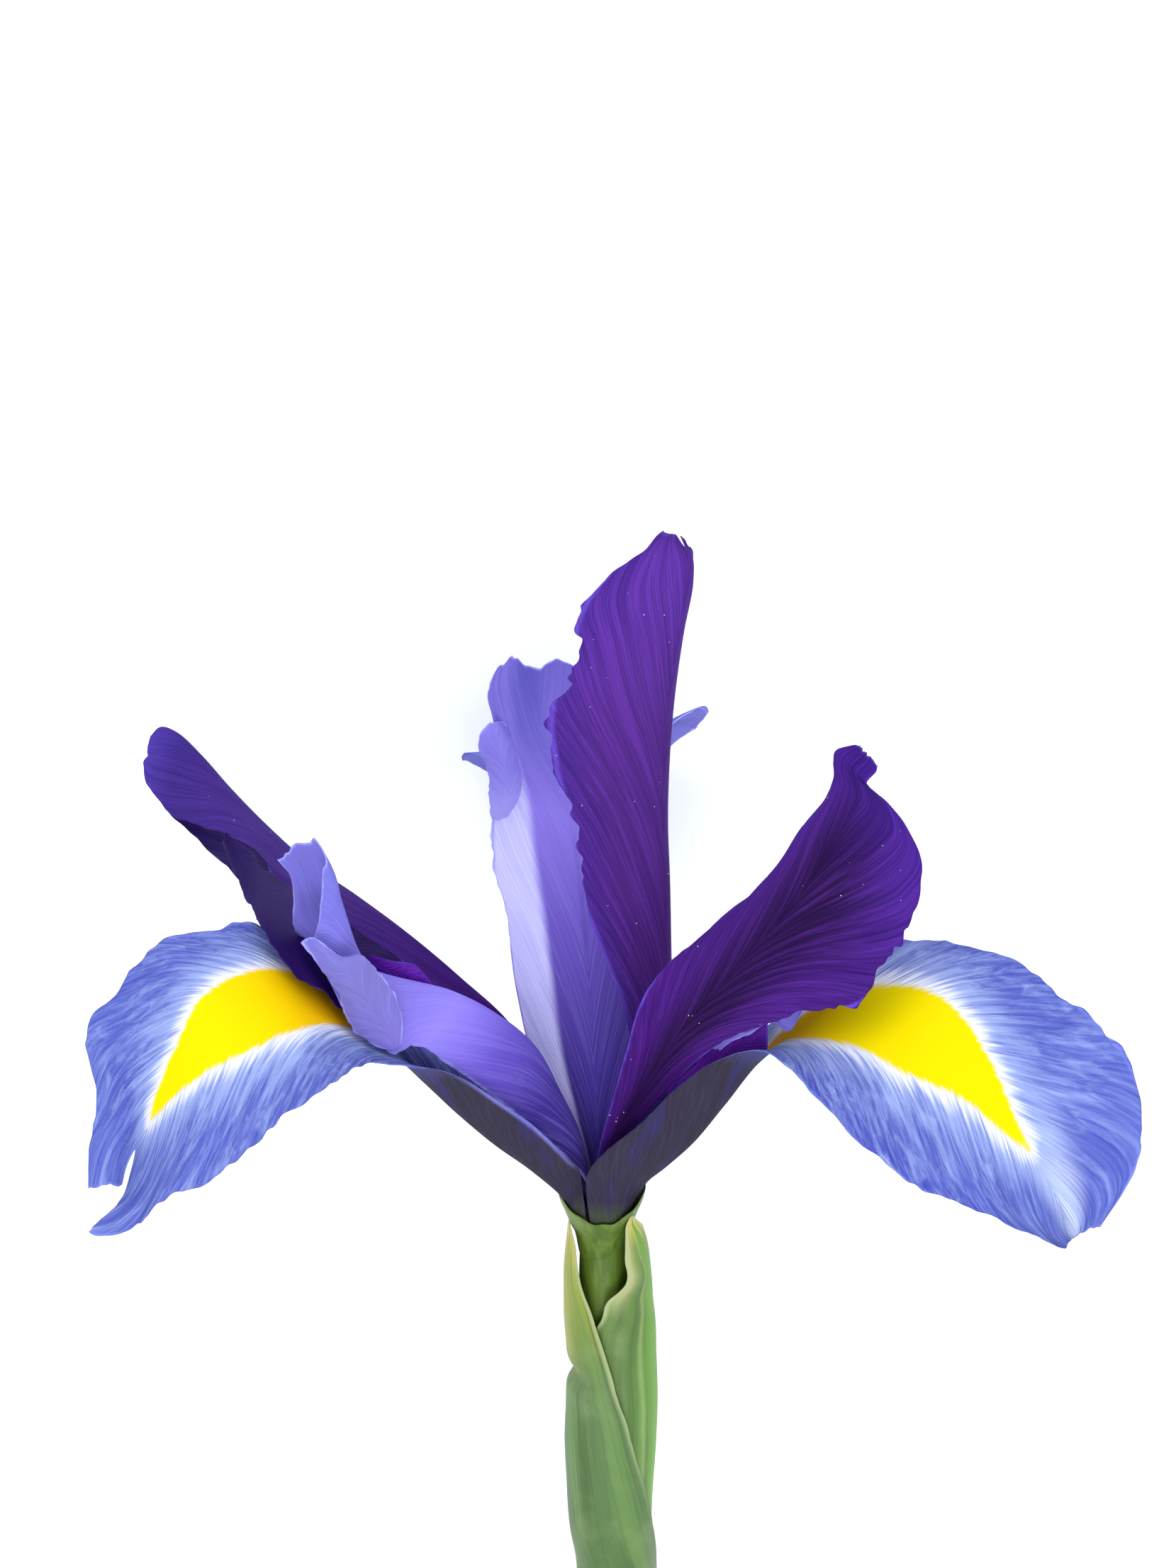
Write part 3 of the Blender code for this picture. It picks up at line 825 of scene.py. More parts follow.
@dataclass(frozen=True)
class StemFinish:
    """Green rind with faint ribs and specks, for the stem and the ovary.

    Attributes:
        name: The material's name.
        body: Main colour.
        light: Colour of the light patches.
    """

    name: str
    body: Colour
    light: Colour

    def material(self) -> Material:
        """Makes the material."""
        wiring = Wiring(self.name)
        parts = wiring.node("ShaderNodeSeparateXYZ")
        wiring.feed(parts.inputs[0], wiring.here())
        long = wiring.vector(
            wiring.times(parts.outputs[0], 900.0),
            wiring.times(parts.outputs[1], 45.0),
            wiring.times(parts.outputs[2], 900.0),
        )
        lines = wiring.noise(long, 1.0, 3.0, 0.55)
        patches = wiring.noise(wiring.here(), 90.0, 3.0, 0.55)
        colour = wiring.mix(wiring.step(lines, 0.35, 0.7), self.body, self.light)
        colour = wiring.mix(wiring.step(patches, 0.4, 0.75, 0.0, 0.5), colour, self.light)
        return wiring.finish(colour, 0.45, wiring.bump(lines, 0.00015, 0.5), 0.08, Specular_IOR_Level=0.25)


@dataclass(frozen=True)
class GrainFinish:
    """Dull powdery skin, for anthers and pollen.

    Attributes:
        name: The material's name.
        body: Main colour.
        light: Colour of the light specks.
    """

    name: str
    body: Colour
    light: Colour

    def material(self) -> Material:
        """Makes the material."""
        wiring = Wiring(self.name)
        specks = wiring.noise(wiring.here(), 1400.0, 3.0, 0.6)
        colour = wiring.mix(wiring.step(specks, 0.35, 0.65), self.body, self.light)
        return wiring.finish(colour, 0.8, wiring.bump(specks, 0.0001, 0.6), 0.1)


class Growth:
    """Wires one Geometry Nodes tree, with named inputs.

    Args:
        name: The tree's name.
    """

    def __init__(self, name: str) -> None:
        """Starts a tree with one geometry in and one out."""
        self.tree = bpy.data.node_groups.new(name, "GeometryNodeTree")
        self.tree.interface.new_socket("Shape", in_out="INPUT", socket_type="NodeSocketGeometry")
        self.tree.interface.new_socket("Shape", in_out="OUTPUT", socket_type="NodeSocketGeometry")
        self.sockets: dict[str, str] = {}
        self.start = self.tree.nodes.new("NodeGroupInput")
        self.end = self.tree.nodes.new("NodeGroupOutput")

    def option(self, name: str, kind: str) -> Socket:
        """Adds a named input of this kind and gives its socket."""
        made = self.tree.interface.new_socket(name, in_out="INPUT", socket_type=f"NodeSocket{kind}")
        self.sockets[name] = made.identifier
        return self.start.outputs[name]

    def node(self, kind: str, settings: dict[str, object] | None = None, **inputs: object) -> bpy.types.Node:
        """Adds a node.

        Args:
            kind: The node's type.
            settings: Properties of the node.
            **inputs: Input names, with _ for a blank, to a socket or a value.

        Returns:
            The node.
        """
        made = self.tree.nodes.new(kind)
        for name, value in (settings or {}).items():
            setattr(made, name, value)
        for name, value in inputs.items():
            socket = next(s for s in made.inputs if s.name == name.replace("_", " ") and s.enabled)
            self.feed(socket, value)
        return made

    def feed(self, socket: Socket, value: object) -> None:
        """Links a socket to the input, or sets the input to a value."""
        if isinstance(value, Socket):
            self.tree.links.new(value, socket)
        else:
            socket.default_value = value

    def math(self, operation: str, *values: object) -> Socket:
        """Does a sum on numbers or sockets."""
        made = self.node("ShaderNodeMath", {"operation": operation})
        for socket, value in zip(made.inputs, values):
            self.feed(socket, value)
        return made.outputs[0]

    def shape(self) -> Socket:
        """Gives the incoming shape."""
        return self.start.outputs["Shape"]

    def close(self, shape: Socket, material: Socket) -> None:
        """Ends the tree: makes instances real and gives them the material."""
        real = self.node("GeometryNodeRealizeInstances", Geometry=shape)
        coated = self.node("GeometryNodeSetMaterial", Geometry=real.outputs[0], Material=material)
        self.tree.links.new(coated.outputs[0], self.end.inputs["Shape"])

    def grow(self, name: str, source: Thing, options: dict[str, object]) -> Thing:
        """Runs the tree on an object and gives what it grows as a plain mesh object.

        Args:
            name: Name of the new object.
            source: The object that it starts from, which stays as it is.
            options: Value of each named input.

        Returns:
            The new object.
        """
        modifier = source.modifiers.new("Growth", "NODES")
        modifier.node_group = self.tree
        for option, value in options.items():
            modifier[self.sockets[option]] = value
        graph = bpy.context.evaluated_depsgraph_get()
        mesh = bpy.data.meshes.new_from_object(source.evaluated_get(graph), depsgraph=graph)
        source.modifiers.remove(modifier)
        grown = bpy.data.objects.new(name, mesh)
        bpy.context.collection.objects.link(grown)
        return grown


def grains_tree() -> Growth:
    """Makes the tree that scatters grains over a shape."""
    growth = Growth("grains")
    density, size = growth.option("Density", "Float"), growth.option("Size", "Float")
    seed, material = growth.option("Seed", "Int"), growth.option("Material", "Material")
    shape = growth.shape()
    points = growth.node("GeometryNodeDistributePointsOnFaces", Mesh=shape, Density=density, Seed=seed)
    grain = growth.node("GeometryNodeMeshIcoSphere", Radius=size, Subdivisions=1)
    sizes = growth.node("FunctionNodeRandomValue", {"data_type": "FLOAT"}, Min=0.45, Max=1.2, Seed=seed)
    spots = {"Points": points.outputs[0], "Instance": grain.outputs[0], "Scale": sizes.outputs[1]}
    placed = growth.node("GeometryNodeInstanceOnPoints", **spots)
    growth.close(placed.outputs[0], material)
    return growth


def stalk_tree() -> Growth:
    """Makes the tree that sweeps a ribbed stalk along a curve."""
    growth = Growth("stalk")
    sides, ribs = growth.option("Sides", "Int"), growth.option("Ribs", "Float")
    depth, material = growth.option("Depth", "Float"), growth.option("Material", "Material")
    ring = growth.node("GeometryNodeCurvePrimitiveCircle", {"mode": "RADIUS"}, Resolution=sides, Radius=1.0)
    place = growth.node("GeometryNodeInputPosition").outputs[0]
    parts = growth.node("ShaderNodeSeparateXYZ", Vector=place)
    angle = growth.math("ARCTAN2", parts.outputs[1], parts.outputs[0])
    wave = growth.math("COSINE", growth.math("MULTIPLY", angle, ribs))
    swell = growth.math("MULTIPLY_ADD", wave, depth, 1.0)
    ribbed = growth.node("ShaderNodeVectorMath", {"operation": "SCALE"}, Vector=place, Scale=swell)
    profile = growth.node("GeometryNodeSetPosition", Geometry=ring.outputs[0], Position=ribbed.outputs[0])
    radius = growth.node("GeometryNodeInputRadius").outputs[0]
    outline = profile.outputs[0]
    inputs = {"Curve": growth.shape(), "Profile_Curve": outline, "Fill_Caps": True, "Scale": radius}
    swept = growth.node("GeometryNodeCurveToMesh", **inputs)
    soft = growth.node("GeometryNodeSetShadeSmooth", Geometry=swept.outputs[0])
    growth.close(soft.outputs[0], material)
    return growth


@dataclass
class Looks:
    """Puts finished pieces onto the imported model.

    Attributes:
        laid: Where the flower lies.
        pieces: Every piece so far.
    """

    laid: LaidFlower
    pieces: list[Thing] = field(default_factory=list)

    def add(self, piece: Thing, slot: str, *nodes: str) -> Thing:
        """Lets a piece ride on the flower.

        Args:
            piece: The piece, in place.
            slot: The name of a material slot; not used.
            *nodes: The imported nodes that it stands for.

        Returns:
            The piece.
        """
        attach(piece, "root")
        if nodes:
            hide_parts(*nodes)
        self.pieces.append(piece)
        LOG.info("%s: %d faces for %s", piece.name, len(piece.data.polygons), ", ".join(nodes) or "detail")
        return piece

    def mesh_object(
        self, name: str, points: np.ndarray, faces: np.ndarray, material: Material
    ) -> Thing:
        """Makes a smooth mesh object.

        Args:
            name: Its name.
            points: Its points in the flower's frame.
            faces: Four point numbers for each face.
            material: Its finish.

        Returns:
            The object.
        """
        mesh = bpy.data.meshes.new(name)
        mesh.from_pydata(self.laid.points(points).tolist(), [], faces.tolist())
        mesh.shade_smooth()
        mesh.materials.append(material)
        made = bpy.data.objects.new(name, mesh)
        bpy.context.collection.objects.link(made)
        return made

    def sheet(self, name: str, sheet: Sheet, material: Material) -> Thing:
        """Makes a closed thin skin over a sheet, with the attributes that its finish reads.

        Args:
            name: Name of the object.
            sheet: The sheet.
            material: Its finish.

        Returns:
            The object.
        """
        grid, u, v = sheet.waved()
        values = sheet.attributes(grid, u, v)
        # It thins towards its margins and its tip.
        body = (1 - 0.75 * np.abs(v) ** 4) * (1 - 0.75 * ease(u, 0.9, 1))
        offset = normals_of(grid) * (sheet.thickness * body / 2)[..., None]
        points = np.concatenate([(grid + offset).reshape(-1, 3), (grid - offset).reshape(-1, 3)])
        along, across = u.shape
        index = np.arange(along * across).reshape(along, across)
        corners = [index[:-1, :-1], index[1:, :-1], index[1:, 1:], index[:-1, 1:]]
        plus = np.stack(corners, axis=-1).reshape(-1, 4)
        rim = np.concatenate([index[:, 0], index[-1, 1:], index[-2::-1, -1], index[0, -2:0:-1]])
        ahead = np.roll(rim, -1)
        count = along * across
        strip = np.stack([ahead, rim, rim + count, ahead + count], axis=-1)
        faces = np.concatenate([plus, plus[:, ::-1] + count, strip])
        piece = self.mesh_object(name, points, faces, material)
        values["inner"] = np.full(u.shape, float(sheet.side is Side.WITH))
        for key, grid_values in values.items():
            other = 1 - grid_values if key == "inner" else grid_values
            layer = piece.data.attributes.new(key, "FLOAT", "POINT")
            layer.data.foreach_set("value", np.concatenate([grid_values.ravel(), other.ravel()]))
        self.unwrap(piece, u, v)
        return piece

    def dress(self, node: str, sheet: Sheet, slot: str, material: Material) -> Thing:
        """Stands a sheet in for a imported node.

        Args:
            node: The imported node.
            sheet: The sheet.
            slot: The material slot it takes its finish from.
            material: Its finish.

        Returns:
            The piece.
        """
        return self.add(self.sheet(f"{node}_skin", sheet, material), slot, node)

    @staticmethod
    def unwrap(piece: Thing, u: np.ndarray, v: np.ndarray) -> None:
        """Gives a sheet a UV map with its two faces side by side."""
        half = np.stack([u.ravel() * 0.96 + 0.02, (v.ravel() * 0.46 + 0.5) * 0.5], axis=-1)
        places = np.concatenate([half, half + (0, 0.5)])
        corners = np.empty(len(piece.data.loops), int)
        piece.data.loops.foreach_get("vertex_index", corners)
        layer = piece.data.uv_layers.new(name="UVMap")
        layer.data.foreach_set("uv", places[corners].ravel())


def claw_rows(azimuth: float, ring: float, spans: tuple[float, float]) -> list[list[np.ndarray]]:
    """Gives the two rows of five points where a petal stands on the rim of the tube.

    Args:
        azimuth: Where the claw stands, in degrees.
        ring: Radius at which it stands.
        spans: Where its two ends are, in degrees from its azimuth.

    Returns:
        The two rows.
    """
    rows = []
    for radius, height in ((ring, -0.1), (ring + 0.45, 1.9)):
        angles = np.radians(azimuth + np.linspace(*spans, 5))
        rows.append([np.array((radius * math.cos(a), radius * math.sin(a), height)) for a in angles])
    return rows


@dataclass
class Petal:
    """A fall or a standard.

    Attributes:
        node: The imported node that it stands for.
        azimuth: Where its claw stands, in degrees.
        ring: Radius at which its claw stands.
        spans: Where the claw's two ends are, in degrees from its azimuth.
        drawn: Rows of three guide points, from claw to tip.
        fold: 2 for a round arch across it, 1 for a sharp crease.
        side: Which way its inner face looks.
        first: Margin at the first point of each row.
        last: Margin at the last point of each row.
        tip: Its end.
        signal: The yellow signal, or None.
        pleat: Millimetres of fine pleats along the veins.
        lag: Share of the length by which a vein runs on from the midrib to the margin.
        bend: Below 1, the veins leave the midrib nearly along it.
        thickness: Thickness along the midrib.
    """

    node: str
    azimuth: float
    ring: float
    spans: tuple[float, float]
    drawn: list[Row]
    fold: float
    side: Side
    first: Margin
    last: Margin
    tip: Tip
    signal: Signal | None = None
    pleat: float = 0.05
    lag: float = 0.24
    bend: float = 0.75
    thickness: float = 0.45

    def sheet(self) -> Sheet:
        """Gives the petal's sheet."""
        rows = claw_rows(self.azimuth, self.ring, self.spans)
        rows += [five_across([flower_point(*point) for point in row], self.fold) for row in self.drawn]
        return Sheet(
            rows,
            self.side,
            self.thickness,
            self.first,
            self.last,
            self.tip,
            lag=self.lag,
            bend=self.bend,
            pleat=self.pleat,
            signal=self.signal,
        )

    def build(self, looks: Looks, slot: str, material: Material) -> Thing:
        """Makes the petal and puts it onto the flower."""
        return looks.dress(self.node, self.sheet(), slot, material)


@dataclass
class StyleArm:
    """A style arm, which arches out over its fall and ends in a crest of two lobes.

    Attributes:
        node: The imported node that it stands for.
        azimuth: Its direction, in degrees.
        near_side: 1 or -1, the side that comes first in its rows.
        lean: How far it leans in x for each millimetre of reach.
        stations: Reach and height of its ridge, reach and height of its margins, and half width.
        crest: Rows of five guide points from lobe to lobe.
        side: Which way its inner face looks.
        first: Margin at the first point of each row.
        last: Margin at the last point of each row.
        tip: Its end.
    """

    node: str
    azimuth: float
    near_side: int
    lean: float
    stations: list[ArmStation]
    crest: list[list[Point]]
    side: Side
    first: Margin
    last: Margin
    tip: Tip

    def station_row(self, station: ArmStation) -> list[np.ndarray]:
        """Gives the five points across the arm at a station."""
        ridge_reach, ridge_height, reach, height, half = station
        angle = math.radians(self.azimuth)
        out = np.array((math.cos(angle), math.sin(angle), 0))
        side = np.array((-math.sin(angle), math.cos(angle), 0)) * self.near_side
        up = np.array((0, 0, 1.0))
        shift = np.array((self.lean * ridge_reach, 0, 0))
        margins = [out * reach + up * height + side * half * sign + shift for sign in (1, -1)]
        ridge = out * ridge_reach + up * ridge_height + shift
        return five_across([margins[0], ridge, margins[1]], 1.7)

    def sheet(self) -> Sheet:
        """Gives the arm's sheet."""
        span = ARM_SPAN * self.near_side
        rows = claw_rows(self.azimuth, ARM_RING, (span, -span))[:1]
        rows += [self.station_row(station) for station in self.stations]
        rows += [[np.array(flower_point(*point)) for point in row] for row in self.crest]
        return Sheet(
            rows, self.side, 0.5, self.first, self.last, self.tip, along=200, lag=0.5, bend=0.9, pleat=0.05
        )

    def build(self, looks: Looks, slot: str, material: Material) -> Thing:
        """Makes the arm and puts it onto the flower."""
        return looks.dress(self.node, self.sheet(), slot, material)


@dataclass
class Flap:
    """A small lobe or curled margin that lies on a petal or a style arm.

    Attributes:
        name: The piece's name.
        drawn: Rows of three guide points.
        margin: How its margins wave.
        side: Which way its inner face looks.
        fold: 2 for a round arch across it, 1 for a sharp crease.
        tip: Its end.
    """

    name: str
    drawn: list[Row]
    margin: Margin
    side: Side = Side.WITH
    fold: float = 2.0
    tip: Tip = field(default_factory=Tip)

    def build(self, looks: Looks, slot: str, material: Material) -> Thing:
        """Makes the flap and puts it onto the flower."""
        rows = [five_across([flower_point(*point) for point in row], self.fold) for row in self.drawn]
        edges = (self.margin, self.margin, self.tip)
        sheet = Sheet(rows, self.side, 0.3, *edges, along=70, across=41, pleat=0.03)
        return looks.add(looks.sheet(self.name, sheet, material), slot)


@dataclass
class Collar:
    """The green rim of the perianth tube, which laps up the outside of the claws.

    Attributes:
        heights: Heights of its outline.
        radii: Radius at each height.
        front: Height of the rim at the front of the flower.
        sides: Height of the rim at its sides.
        wall: Its thickness.
    """

    heights: tuple[float, ...] = (-5.5, -4.4, -3.5, -2.3, -1.4, -0.6, 0.4, 1.7, 2.6, 3.6, 4.6)
    radii: tuple[float, ...] = (2.3, 2.62, 2.78, 2.98, 3.22, 3.6, 3.98, 4.45, 4.8, 5.05, 5.2)
    front: float = 1.5
    sides: float = 4.1
    wall: float = 0.2

    def build(self, looks: Looks, material: Material) -> Thing:
        """Makes the collar as a closed ring and puts it onto the flower."""
        around, levels = 120, 26
        angles = np.linspace(0, 2 * math.pi, around, endpoint=False)
        rim = self.front + (self.sides - self.front) * np.abs(np.cos(angles)) ** 2.5
        rim += 0.3 * np.sin(angles * 7 + 1) * np.sin(angles * 4)
        heights, radii = np.array(self.heights), np.array(self.radii)[:, None]
        rings = []
        for inward, shares in ((0.0, np.linspace(0, 1, levels)), (1.0, np.linspace(1, 0, levels))):
            for share in shares:
                height = heights[0] + share * (rim - heights[0])
                radius = smooth(heights, radii, height)[:, 0] - inward * self.wall * (1.2 - share)
                x, y = 0.2 + radius * np.cos(angles), radius * np.sin(angles)
                rings.append(np.stack([x, y, height], axis=-1))
        index = np.arange(len(rings) * around).reshape(len(rings), around)
        ahead, across = np.roll(index, -1, axis=0), np.roll(index, -1, axis=1)
        both = np.roll(ahead, -1, axis=1)
        faces = np.stack([index, across, both, ahead], axis=-1).reshape(-1, 4)
        points = np.array(rings).reshape(-1, 3)
        return looks.add(looks.mesh_object("perianth_collar", points, faces, material), "ovary_green")


@dataclass
class Bract:
    """A sheathing bract.

    Attributes:
        node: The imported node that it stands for.
        sections: Height, centre in x, radius, azimuth and half the angle covered, from base to tip.
        margin: How its margins wave.
        pinch: Height and depth of the dent in its left side.
    """

    node: str
    sections: list[BractSection]
    margin: Margin
    pinch: tuple[float, float] = (0.0, 0.0)

    def sheet(self) -> Sheet:
        """Gives the bract's sheet."""
        drawn = np.array(self.sections, float)
        heights = np.linspace(drawn[0, 0], drawn[-1, 0], 90)
        rows = []
        sections = smooth(drawn[:, 0], drawn[:, 1:], heights)
        for height, (centre, radius, azimuth, half) in zip(heights, sections):
            angles = np.radians(azimuth + max(half, 1) * np.linspace(-1, 1, 9))
            dent = self.pinch[1] * math.exp(-(((height - self.pinch[0]) / 1.2) ** 2))
            x = centre + radius * np.cos(angles) + dent * np.clip(-np.cos(angles), 0, 1) ** 2
            rows.append(list(np.stack([x, radius * np.sin(angles), np.full(9, height)], axis=-1)))
        return Sheet(rows, Side.WITH, 0.4, self.margin, self.margin, Tip(), along=200, across=61)

    def build(self, looks: Looks, material: Material) -> Thing:
        """Makes the bract and puts it onto the flower."""
        return looks.dress(self.node, self.sheet(), "bract_green", material)


@dataclass
class Stalk:
    """A ribbed round body along a path: stem, ovary, filament or anther.

    Attributes:
        node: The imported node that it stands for.
        path: Points in the flower's frame.
        radii: Radius at each point, in millimetres.
        sides: How many sides it has.
        ribs: How many ribs run along it.
        depth: Depth of the ribs as a share of the radius.
    """

    node: str
    path: np.ndarray
    radii: np.ndarray
    sides: int = 32
    ribs: int = 6
    depth: float = 0.02

    def build(self, looks: Looks, growth: Growth, slot: str, material: Material) -> Thing:
        """Sweeps the stalk and puts it onto the flower.

        Args:
            looks: Where the piece goes.
            growth: The tree that sweeps a stalk.
            slot: The material slot it takes its finish from.
            material: Its finish.

        Returns:
            The piece.
        """
        curve = bpy.data.curves.new(self.node, "CURVE")
        curve.dimensions = "3D"
        spline = curve.splines.new("POLY")
        spline.points.add(len(self.path) - 1)
        for point, place, radius in zip(spline.points, looks.laid.points(self.path), self.radii):
            point.co = (*place, 1)
            point.radius = radius * MM
        line = bpy.data.objects.new(self.node + "_line", curve)
        bpy.context.collection.objects.link(line)
        options = {"Sides": self.sides, "Ribs": float(self.ribs), "Depth": self.depth, "Material": material}
        stalk = growth.grow(f"{self.node}_skin", line, options)
        bpy.data.objects.remove(line)
        return looks.add(stalk, slot, self.node)


# Guide points of the sheets, from claw to tip or from base to tip.
LEFT_FALL_ROWS: list[Row] = [
    [(-2.2, -4.2, 4.8), (-4.2, -2.4, 2.4), (-4.4, 1.5, 6.4)],
    [(-3.4, -6.0, 6.4), (-7.6, -4.4, 5.4), (-7.2, 0.6, 9.4)],
    [(-7.2, -8.8, 10.3), (-12.0, -6.9, 8.6), (-10.6, -0.9, 12.8)],
    [(-11.0, -11.6, 13.1), (-16.0, -9.2, 12.0), (-15.0, -3.0, 16.6)],
    [(-16.2, -15.1, 16.4), (-20.0, -11.5, 15.8), (-20.8, -6.0, 20.5)],
    [(-21.0, -18.5, 17.6), (-24.0, -13.9, 19.5), (-27.0, -7.5, 25.5)],
    [(-25.5, -21.5, 17.6), (-28.0, -16.2, 22.0), (-32.5, -7.5, 30.5)],
    [(-28.5, -26.0, 16.6), (-32.0, -18.5, 24.0), (-37.0, -9.0, 33.4)],
    [(-31.8, -30.0, 14.6), (-36.0, -20.8, 25.0), (-41.5, -10.4, 34.3)],
    [(-36.0, -33.2, 11.3), (-40.0, -23.0, 24.3), (-46.0, -12.6, 33.2)],
    [(-40.5, -35.6, 7.5), (-44.0, -25.4, 22.3), (-51.0, -14.8, 32.0)],
    [(-45.5, -36.0, 3.9), (-47.5, -27.4, 18.5), (-55.5, -17.2, 26.8)],
    [(-49.8, -35.0, 1.4), (-50.3, -28.9, 13.3), (-58.6, -19.6, 21.4)],
    [(-53.0, -34.0, -0.8), (-52.3, -30.0, 8.6), (-57.6, -22.6, 14.2)],
    [(-56.2, -33.4, -1.4), (-53.6, -30.8, 5.4), (-58.5, -25.5, 8.3)],
    [(-58.6, -33.0, -1.1), (-54.2, -31.2, 3.4), (-58.0, -28.8, 3.0)],
]
RIGHT_FALL_ROWS: list[Row] = [
    [(-1.5, -4.6, 4.6), (4.4, -2.6, 3.5), (5.4, 0.8, 6.8)],
    [(0.6, -5.8, 7.5), (7.2, -4.2, 5.8), (7.8, 0.2, 10.4)],
    [(4.4, -7.6, 10.6), (10.2, -5.9, 8.4), (9.6, -0.5, 13.4)],
    [(8.7, -9.9, 14.9), (14.0, -8.1, 13.0), (13.6, -2.4, 17.6)],
    [(13.8, -12.6, 18.4), (18.0, -10.4, 18.0), (18.8, -5.0, 21.8)],
    [(19.0, -16.7, 19.3), (22.5, -13.0, 21.0), (25.5, -6.8, 27.5)],
    [(24.3, -24.0, 14.8), (30.0, -17.3, 21.5), (35.0, -8.5, 32.6)],
    [(30.5, -29.5, 8.2), (36.5, -21.0, 20.3), (43.0, -10.5, 31.8)],
    [(36.5, -32.5, 3.8), (42.3, -24.4, 16.5), (50.0, -12.8, 28.4)],
    [(42.5, -34.0, 1.0), (47.0, -27.1, 11.0), (56.2, -16.2, 23.2)],
    [(47.0, -33.8, -0.8), (50.3, -29.0, 6.0), (60.6, -19.5, 17.6)],
    [(50.3, -33.0, -1.8), (52.3, -30.2, 2.2), (62.4, -23.0, 10.4)],
    [(52.3, -32.3, -2.9), (53.4, -30.8, -0.6), (60.4, -27.0, 4.6)],
    [(53.4, -31.8, -3.2), (54.1, -31.0, -2.0), (56.8, -29.6, -0.6)],
]
BACK_FALL_ROWS: list[Row] = [
    [(-3.4, 5.0, 5.4), (0.0, 6.0, 5.6), (3.4, 5.0, 5.4)],
    [(-4.4, 8.5, 12.6), (-0.2, 10.2, 15.0), (4.0, 8.5, 12.6)],
    [(-5.2, 12.5, 21.0), (-0.6, 15.5, 24.6), (4.2, 12.5, 21.0)],
    [(-6.0, 18.5, 31.0), (-1.0, 21.5, 35.0), (4.4, 18.5, 31.2)],
    [(-7.6, 25.6, 39.8), (-1.4, 27.5, 43.6), (4.6, 25.6, 39.8)],
    [(-12.6, 31.0, 52.4), (-1.8, 32.6, 50.2), (7.8, 30.0, 55.6)],
    [(-15.8, 36.5, 54.2), (-2.0, 37.5, 54.0), (11.4, 36.0, 58.3)],
    [(-16.5, 41.5, 53.3), (-2.2, 42.4, 55.0), (12.6, 41.0, 57.4)],
    [(-14.4, 45.5, 52.2), (-2.4, 45.8, 53.2), (10.4, 45.2, 55.6)],
    [(-11.8, 47.0, 50.6), (-2.5, 47.2, 49.6), (7.2, 47.0, 52.8)],
    [(-8.4, 47.4, 45.4), (-2.5, 47.6, 45.6), (3.6, 47.4, 45.8)],
    [(-5.4, 47.2, 42.4), (-2.5, 47.2, 41.8), (0.4, 47.2, 42.4)],
]
LEFT_STANDARD_ROWS: list[Row] = [
    [(-3.0, 0.9, 5.8), (-3.7, 2.4, 6.4), (-3.3, 3.6, 5.6)],
    [(-6.6, 2.2, 13.0), (-6.8, 4.1, 15.6), (-5.9, 6.0, 12.4)],
    [(-10.8, 4.0, 18.6), (-10.2, 6.1, 21.8), (-9.0, 8.6, 16.6)],
    [(-17.2, 6.0, 24.6), (-16.0, 9.4, 27.3), (-14.0, 12.8, 19.6)],
    [(-24.0, 7.6, 30.2), (-22.0, 12.8, 32.3), (-19.4, 16.8, 22.2)],
    [(-31.0, 8.6, 35.0), (-28.0, 16.0, 36.7), (-25.2, 20.4, 24.6)],
    [(-37.2, 10.6, 38.8), (-33.5, 19.3, 40.4), (-31.0, 24.4, 26.3)],
    [(-40.5, 13.0, 42.4), (-38.5, 22.2, 44.8), (-36.2, 28.2, 29.6)],
    [(-44.0, 15.6, 44.2), (-42.5, 24.5, 49.0), (-38.6, 31.0, 33.6)],
    [(-48.0, 19.2, 45.5), (-46.0, 26.5, 53.0), (-42.0, 32.2, 38.5)],
    [(-51.0, 22.6, 48.0), (-49.0, 28.2, 55.8), (-46.2, 32.6, 43.0)],
    [(-52.4, 25.2, 50.3), (-50.8, 29.2, 56.4), (-50.0, 31.6, 46.6)],
    [(-52.7, 27.2, 52.6), (-51.9, 28.8, 55.4), (-51.8, 30.2, 50.6)],
]
UPRIGHT_STANDARD_ROWS: list[Row] = [
    [(2.1, 3.0, 6.0), (3.3, 2.2, 6.0), (3.9, 1.2, 6.0)],
    [(3.6, 4.8, 12.5), (5.2, 4.1, 12.5), (6.2, 3.0, 12.5)],
    [(3.8, 4.6, 18.5), (6.8, 5.0, 18.5), (8.0, 4.4, 18.5)],
    [(2.8, 3.6, 24.0), (7.4, 5.6, 24.0), (8.2, 7.2, 24.0)],
    [(0.5, 2.6, 30.0), (7.5, 6.0, 30.0), (8.0, 9.4, 30.5)],
    [(-2.3, 2.0, 38.0), (7.4, 6.2, 38.0), (7.2, 11.6, 39.5)],
    [(-3.3, 1.6, 45.5), (7.2, 6.2, 45.5), (6.4, 13.0, 47.5)],
    [(-5.2, 1.2, 53.0), (7.3, 6.0, 53.0), (6.6, 13.2, 55.5)],
    [(-5.4, 1.0, 59.0), (7.8, 5.6, 60.0), (7.4, 12.4, 62.5)],
    [(-3.4, 1.2, 65.0), (8.8, 5.2, 67.0), (8.6, 10.4, 68.5)],
    [(-1.2, 1.6, 71.0), (9.9, 4.8, 73.0), (9.8, 8.0, 73.6)],
    [(2.8, 2.4, 75.2), (9.9, 4.6, 76.0), (10.3, 7.0, 76.4)],
    [(5.4, 3.1, 77.2), (9.3, 4.3, 77.4), (10.0, 5.6, 77.0)],
    [(7.4, 3.7, 78.7), (8.8, 4.2, 78.5), (9.8, 4.8, 77.8)],
]
